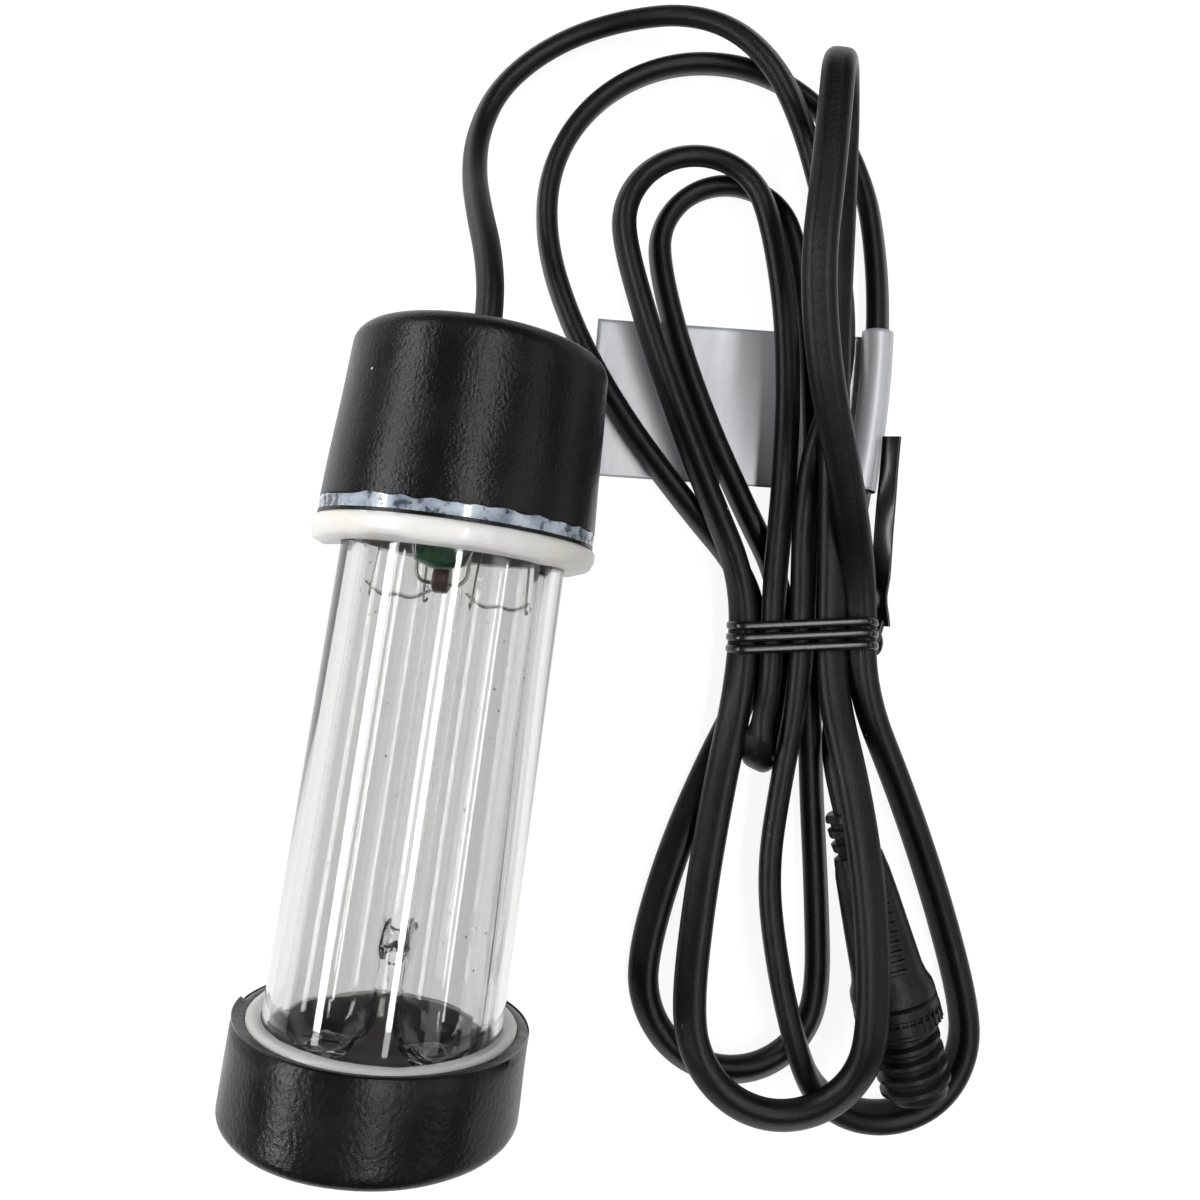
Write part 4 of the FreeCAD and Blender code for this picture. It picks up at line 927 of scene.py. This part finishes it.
for side, word in ((-1, "left"), (1, "right")):
    leg_place = lying(side * LEG)
    outline = [(6.5, 44.0), (7.5, 44.0)] + arc(0, -46.0, 7.5, 0, -76, 14) + [
        (1.35, -53.5), (1.15, -54.6), (0.75, -55.2), (0.0, -55.4), (0.0, -50.2), (0.8, -50.0),
        (1.6, -50.6), (2.5, -51.3), (3.3, -51.1)] + arc(0, -46.0, 6.5, -52, 0, 14)
    bm = spun(outline, leg_place, 128)
    for vert in bm.verts:
        if vert.co.y < -49.5:
            vert.co += 0.45 * noise.noise_vector(vert.co * 0.35 + Vector((side * 9, 0, 0)))
    leg_piece = finished(bm, f"lamp_leg_{word}", tube_glass, 60)
    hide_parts(f"lamp_tube_{word}")

# %% [markdown]
# The two legs are joined by a short glass bridge, blown through while it was soft. It is narrow in
# the middle and flares where it fuses to each leg, with a drip of glass below it.

# %% Glass bridge
across_y = Matrix.Translation((0, -35.4, AXIS)) @ Matrix.Rotation(math.pi / 2, 4, "Y")
half = 2.1
neck = [(3.1, -half), (2.3, -1.4), (1.75, -0.6), (1.65, 0.0), (1.75, 0.6), (2.3, 1.4), (3.1, half),
        (1.9, half), (1.2, 1.2), (0.9, 0.0), (1.2, -1.2), (1.9, -half)]
bm = spun(neck, across_y, 48)
drip = bmesh.ops.create_uvsphere(bm, u_segments=24, v_segments=16, radius=1.15)
bmesh.ops.scale(bm, vec=(0.75, 3.4, 0.9), verts=drip["verts"])
for vert in drip["verts"]:
    if vert.co.y < 0:
        vert.co.x *= 1 + vert.co.y / 6.5
bmesh.ops.translate(bm, vec=(0, -39.6, AXIS), verts=drip["verts"])
for vert in bm.verts:
    vert.co += 0.22 * noise.noise_vector(vert.co * 0.8)
bridge = finished(bm, "bridge_neck", tube_glass, 60)
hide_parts("lamp_bridge")


# %% [markdown]
# ## Filaments and their wires
# A filament is a fine coil of tungsten, hooked on two lead wires and sagging between them. The coil
# is a helix worked out round a sagging line, and a curve with a round bevel draws the wire. The
# lead wires are curves as well, each bent to a hook at its end.

# %% Filaments and lead wires
def wire(name, runs, radius, material, kind="POLY"):
    """Round wires along lists of points in millimetres, as one curve object."""
    curve = bpy.data.curves.new(name, "CURVE")
    curve.dimensions = "3D"
    curve.bevel_depth = radius * MM
    curve.bevel_resolution = 3
    curve.resolution_u = 6
    curve.use_fill_caps = True
    for points in runs:
        spline = curve.splines.new(kind)
        spline.points.add(len(points) - 1)
        for target, point in zip(spline.points, points):
            target.co = (*(Vector(point) * MM), 1.0)
        if kind == "NURBS":
            spline.order_u = 3
            spline.use_endpoint_u = True
    return as_piece(curve, name, material)


def coil(centre):
    """The helix of one filament, between and just past its two hooks."""
    shape = [(-6.0, 0.9), (-4.6, 0.0), (-2.3, -1.3), (0.0, -0.45), (2.3, -1.3), (4.6, 0.0),
             (6.0, 0.9)]
    places = [Vector((centre + across, 19.4 + drop, AXIS)) for across, drop in shape]
    path = smooth_line(places, 12) / MM
    spots = np.linspace(0, len(path) - 1, 520)
    order = np.arange(len(path))
    middle = np.stack([np.interp(spots, order, path[:, axis]) for axis in range(3)], 1)
    turn = np.linspace(0, 30 * 2 * math.pi, len(middle))
    way = unit(np.gradient(middle, axis=0))
    lifted = np.array((0.0, 0.0, 1.0))
    flat = np.cross(way, lifted)
    return middle + 0.27 * (np.cos(turn)[:, None] * lifted + np.sin(turn)[:, None] * flat)


for side, word in ((-1, "left"), (1, "right")):
    centre = side * LEG
    filament = wire(f"coil_{word}", [coil(centre)], 0.085, tungsten)
    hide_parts(f"filament_{word}")
    hooks = []
    for end in (-1, 1):
        foot = centre + end * 4.6
        root = centre + end * 3.8
        hooks.append([(root, 36.0, AXIS), (root, 31.0, 23.5), (foot - end * 0.2, 24.5, 23.9),
                      (foot, 19.3, 24.05), (foot + end * 0.12, 18.2, 23.9),
                      (foot + end * 0.35, 17.9, 23.3), (foot + end * 0.6, 18.6, 22.9)])
    leads = wire(f"hooks_{word}", hooks, 0.2, steel_wire, "NURBS")
    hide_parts(f"lead_wires_{word}")

# %% [markdown]
# ## The starter circuit
# A green dipped capacitor and a brown disc hang on two thin leads under the top seal. A dipped
# capacitor is a soft pillow, so a cube is subdivided, pulled towards a ball and given an uneven
# skin. The disc is a bevelled cylinder on edge.

# %% Capacitor and starter disc
bm = bmesh.new()
bmesh.ops.create_cube(bm, size=2.0)
bmesh.ops.subdivide_edges(bm, edges=bm.edges, cuts=15, use_grid_fill=True)
for vert in bm.verts:
    box_point, ball_point = vert.co.copy(), vert.co.normalized()
    vert.co = box_point.lerp(ball_point * 1.12, 0.66)
    vert.co = Vector((vert.co.x * 4.75, vert.co.y * 5.1, vert.co.z * 2.35))
    vert.co += vert.co.normalized() * 0.16 * noise.noise(vert.co * 0.5)
bmesh.ops.translate(bm, vec=(0, 28.6, 34.8), verts=bm.verts)
capacitor = finished(bm, "capacitor_dip", green_dip, 80)
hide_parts("film_capacitor")

bm = bmesh.new()
bmesh.ops.create_cone(bm, cap_ends=True, segments=64, radius1=2.3, radius2=2.3, depth=2.6)
rims = [edge for edge in bm.edges if len({round(vert.co.z, 3) for vert in edge.verts}) == 1]
bmesh.ops.bevel(bm, geom=rims, offset=0.55, affect="EDGES", segments=4, profile=0.5, material=-1)
bmesh.ops.rotate(bm, cent=(0, 0, 0), matrix=Matrix.Rotation(math.pi / 2, 3, "Y"), verts=bm.verts)
bmesh.ops.translate(bm, vec=(0, 21.8, 31.2), verts=bm.verts)
disc = finished(bm, "starter_disc", brown_disc)
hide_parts("starter_thermistor")

# %% [markdown]
# Old glassware collects specks: bits of carbon from the melt and grains of dust. Ninety tiny
# spheres of few faces sit in the walls of the two lamp legs, more of them in the right one.

# %% Specks in the glass
MIDWALL = 7.0  # radius of the middle of a leg's wall
bm = bmesh.new()
numbers = np.random.default_rng(4)
for number in range(90):
    side = 1 if numbers.random() < 0.7 else -1
    station = numbers.uniform(-50, 24)
    turn = numbers.uniform(math.radians(20), math.radians(160))
    size = numbers.uniform(0.07, 0.2)
    speck = bmesh.ops.create_icosphere(bm, subdivisions=1, radius=size)
    spot = (side * LEG + MIDWALL * math.cos(turn), station, AXIS + MIDWALL * math.sin(turn))
    bmesh.ops.translate(bm, vec=spot, verts=speck["verts"])
finished(bm, "glass_specks", tungsten)


# %% [markdown]
# ## The twist tie
# A vinyl-covered wire goes three times round the waist, is twisted once at the side, and ends in a
# flat tail. The wraps are one helix round the outline of the strands, drawn with a small oval
# section, and the tail is a strip that widens, waves a little and is cut off square.

# %% Twist tie
def waist_place(along, across, height):
    """A place in the waist's own directions, in millimetres."""
    return WAIST + Vector((across * math.cos(LEAN) - along * math.sin(LEAN),
                           across * math.sin(LEAN) + along * math.cos(LEAN), height))


def waist_line(places):
    """A smooth line through places that are given in the waist's own directions."""
    return smooth_line([waist_place(*place) for place in places], 8)


def wrap_outline(spare, steps=6):
    """The rounded outline of both layers of strands, as (across, height) pairs."""
    corners = [(8.1, REST), (10.8, REST + LAYER), (-10.8, REST + LAYER), (-8.1, REST)]
    radius_x, radius_z = 2.0 + spare, 3.0 + spare
    points = []
    for index, (across, height) in enumerate(corners):
        begin, sweep = (-100, 110) if index % 2 == 0 else (-90, 90)
        for step in range(steps):
            turn = math.radians(begin + 90 * index + sweep * step / (steps - 1))
            points.append((across + radius_x * math.cos(turn), height + radius_z * math.sin(turn)))
    return points


outline = wrap_outline(0.55)
helix = []
for wrap in range(3):
    for number, (across, height) in enumerate(outline):
        along = (wrap + number / len(outline) - 1.5) * 2.1 + 0.10 * across
        helix.append(waist_place(along, across, max(height, 0.68)))
tie_line = smooth_line(helix, 4)
tie_ways = unit(np.gradient(tie_line, axis=0))
waist_way = np.array((-math.sin(LEAN), math.cos(LEAN), 0.0))
tie_widths = unit(waist_way - tie_ways * (tie_ways @ waist_way)[:, None])
wraps = ribbon("tie_wraps", tie_line, tie_widths, tie_ways, stadium(1.6, 1.3, 6), tie_plastic)
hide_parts("twist_tie")

knot_line = waist_line([(2.6, 12.6, 8.6), (1.8, 14.0, 7.6), (0.2, 15.0, 6.0), (-1.6, 14.9, 4.6),
                        (-2.4, 13.6, 5.2), (-1.0, 13.2, 6.9), (1.2, 14.6, 7.0), (3.4, 15.2, 6.6)])
knot_widths, knot_ways = width_ways(knot_line, np.zeros(len(knot_line)))
knot = ribbon("tie_twist", knot_line, knot_widths, knot_ways, stadium(2.3, 1.2, 6), tie_plastic)
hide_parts("tie_knot")

strip_line = waist_line([(2.6, 15.1, 6.8), (7.0, 15.2, 6.9), (13.0, 14.8, 7.4), (20.0, 15.0, 7.9),
                         (27.0, 15.4, 8.1), (33.5, 15.9, 7.9), (38.6, 16.3, 7.6)])
strip_ways = unit(np.gradient(strip_line, axis=0))
share = np.linspace(0, 1, len(strip_line))
tip_over = np.radians(20 + 45 * np.exp(-((share - 0.12) / 0.12) ** 2) + 12 * np.sin(share * 9))
flat_side = unit(np.cross(strip_ways, (0.0, 0.0, 1.0)))
lift = np.cross(flat_side, strip_ways)
strip_widths = flat_side * np.cos(tip_over)[:, None] + lift * np.sin(tip_over)[:, None]
strip = ribbon("tie_tail_strip", strip_line, strip_widths, strip_ways, stadium(3.6, 0.7, 4),
               tie_plastic)
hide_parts("tie_tail")


# %% [markdown]
# ## The label
# A silver film flag is closed round one strand of the second arch and lies on the table. The sheet
# starts as a grid, is bent round the strand at its right end, gets a slow wave and a lifted corner,
# and Solidify gives the film its thickness.

# %% Silver label
FLAT = 0.68  # share of the sheet that lies on the table
FLAG = 55.5  # length of that share
SHIFT = 3.2  # how far the sheet is moved towards the top cap
leg_points = loop_points(LOOPS[7])
leg_line = smooth_line(leg_points[len(leg_points) // 2:], 8) / MM


def strand_at(along):
    """The middle of the marked strand at a distance along the lamp."""
    order = np.argsort(leg_line[:, 1])
    return Vector([float(np.interp(along, leg_line[order, 1], leg_line[order, axis]))
                   for axis in range(3)])


bm = bmesh.new()
bmesh.ops.create_grid(bm, x_segments=96, y_segments=40, size=0.5)
for vert in bm.verts:
    share, along = vert.co.x + 0.5, vert.co.y * 32.0 + 63.0
    middle = strand_at(along + SHIFT)
    if share > FLAT:
        turn = math.radians(-90 + 350 * (share - FLAT) / 0.32)
        spot = Vector((middle.x + 3.0 * math.cos(turn), along + SHIFT, 3.4 + 3.1 * math.sin(turn)))
    else:
        away = (FLAT - share) / FLAT
        wave = 0.35 * noise.noise(Vector((share * 3, along * 0.05, 0))) * away
        spot = Vector((middle.x - away * FLAG, along + SHIFT - 0.055 * away * FLAG,
                       0.45 + wave + 0.5 * away ** 6))
    vert.co = spot
bmesh.ops.recalc_face_normals(bm, faces=bm.faces)
label = finished(bm, "label_film", silver, 70)
thicken = label.modifiers.new("film", "SOLIDIFY")
thicken.thickness = 0.00012
thicken.offset = 0.0
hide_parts("label_tag")

# %% [markdown]
# ## The screw connector
# From the cord outwards: a slotted strain relief, a tapered handle with grip bars, a shoulder with
# a ring, and a threaded barrel with a rubber ring, an insert and two contact sockets. Everything is
# turned round the connector's own axis, and the thread is a small ridge that a spin carries forward
# as it goes round.

# %% Connector
KNURLS = 34
THREAD_TURNS, THREAD_PITCH, THREAD_STEPS = 3.7, 2.3, 48  # the steps are for one turn
CONNECTOR = Matrix.Translation(PLUG) @ Matrix((
    (math.cos(PLUG_TURN), 0, PLUG_WAY.x), (math.sin(PLUG_TURN), 0, PLUG_WAY.y), (0, 1, 0))).to_4x4()
relief = [(2.4, 0.0), (3.7, 0.0), (4.1, 0.5)]
for number in range(3):
    low = 1.3 + 2.57 * number
    relief += [(4.2, low), (3.45, low + 0.25), (3.4, low + 1.05), (4.3, low + 1.35)]
relief += [(4.5, 9.0), (2.4, 9.0)]
bm = spun(relief, CONNECTOR, 72)
unevened(bm, CONNECTOR, 0.25, 0.5, 2.0, 3.0)
boot = finished(bm, "relief_boot", connector_rubber)
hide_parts("strain_relief")

handle = [(2.6, 9.0), (4.5, 9.0), (4.9, 11.0), (5.4, 16.0), (5.9, 22.0), (6.3, 27.5), (6.7, 29.2),
          (7.35, 30.6), (7.5, 31.6), (7.5, 32.2), (7.15, 32.4), (5.05, 32.4), (5.05, 37.0),
          (2.6, 37.0)]
bm = spun(handle, CONNECTOR, 96)
unevened(bm, CONNECTOR, 0.12, 0.3, 5.0, 4.0)
body = finished(bm, "handle_shell", connector_rubber)
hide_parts("connector_body")

ring = [(5.1, 32.5), (7.1, 32.5), (7.5, 32.9), (7.5, 34.3), (7.2, 34.6), (7.2, 34.9), (7.5, 35.2),
        (7.4, 36.7), (7.0, 37.0), (5.1, 37.0)]
bm = spun(ring, CONNECTOR, 96)
for number in range(KNURLS):
    turn = 2 * math.pi * number / KNURLS
    knurl = bmesh.ops.create_cube(bm, size=1.0)
    bmesh.ops.scale(bm, vec=(0.34, 0.5, 2.6), verts=knurl["verts"])
    knurl_place = CONNECTOR @ Matrix.Rotation(turn, 4, "Z") @ Matrix.Translation((0, 7.35, 35.4))
    bmesh.ops.transform(bm, matrix=knurl_place, verts=knurl["verts"])
collar = finished(bm, "knurled_ring", connector_rubber)
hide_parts("connector_ring")

barrel = [(4.25, 37.0), (5.4, 37.0), (5.4, 48.4), (5.0, 49.0), (4.25, 49.0)]
bm = spun(barrel, CONNECTOR, 96)
ridge = [bm.verts.new(spot) for spot in (
    (5.3, 0, 38.4), (6.3, 0, 38.95), (6.3, 0, 39.6), (5.3, 0, 40.2))]
ridge_edges = [bm.edges.new(pair) for pair in zip(ridge, ridge[1:])]
bmesh.ops.transform(bm, matrix=CONNECTOR, verts=ridge)
bmesh.ops.spin(bm, geom=ridge + ridge_edges, cent=PLUG, axis=PLUG_WAY,
               dvec=PLUG_WAY * (THREAD_PITCH / THREAD_STEPS),
               angle=2 * math.pi * THREAD_TURNS, steps=round(THREAD_STEPS * THREAD_TURNS))
thread = finished(bm, "threaded_nose", connector_rubber)
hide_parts("threaded_barrel")

# %% [markdown]
# The grip is a panel of raised bars on the upper and lower face of the handle. One bar is a cube
# with all its edges bevelled, and copies of it stand along the taper.

# %% Grip bars
bm = bmesh.new()
for face in (1, -1):
    for number in range(8):
        station = 16.0 + 1.55 * number
        reach = 4.75 + (station - 9.0) * 0.085
        bar = bmesh.ops.create_cube(bm, size=1.0)
        edges = list({edge for vert in bar["verts"] for edge in vert.link_edges})
        bmesh.ops.scale(bm, vec=(5.0, 0.9, 0.8), verts=bar["verts"])
        shaped_bar = bmesh.ops.bevel(bm, geom=edges, offset=0.22, affect="EDGES", segments=2,
                                     profile=0.5, material=-1)
        verts = list({vert for face_ in shaped_bar["faces"] for vert in face_.verts})
        for vert in verts:
            vert.co.y -= 0.035 * vert.co.x ** 2
        bar_place = CONNECTOR @ Matrix.Translation((0, face * (reach + 0.1), station))
        bmesh.ops.transform(bm, matrix=bar_place @ Matrix.Scale(face, 4, (0, 1, 0)), verts=verts)
bmesh.ops.recalc_face_normals(bm, faces=bm.faces)
grip = finished(bm, "grip_bars", connector_rubber)
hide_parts("grip_ribs")

# %% [markdown]
# ## What stays from the CAD model
# The pieces that are hidden in the cap or have their final shape already keep their CAD mesh and
# only get a finish. The cable gland shows a little at the cap's end.

# %% Finishes for the carried-over nodes
KEPT = {
    "cable_gland": connector_rubber, "potting_plug": potting, "lamp_base": ceramic,
    "base_pins": steel_wire,
    "pinch_stem_left": tube_glass, "pinch_stem_right": tube_glass, "core_wires": core_sheath,
    "starter_leads": steel_wire, "sealing_ring": connector_rubber,
    "contact_insert": connector_rubber,
    "contact_sockets": brass,
}
for name, material in KEPT.items():
    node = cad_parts[name]
    node.data.materials.clear()
    node.data.materials.append(material)
print(len(KEPT), "nodes keep their CAD shape")

# %% [markdown]
# ## The scene's box
# The last lines measure the box round every shown piece, without the table, and print it in
# millimetres.

# %% Measure the box
bpy.context.view_layer.update()
low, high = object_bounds()
print("visual box in mm:", [round(value / MM, 1) for value in (*low, *high)])
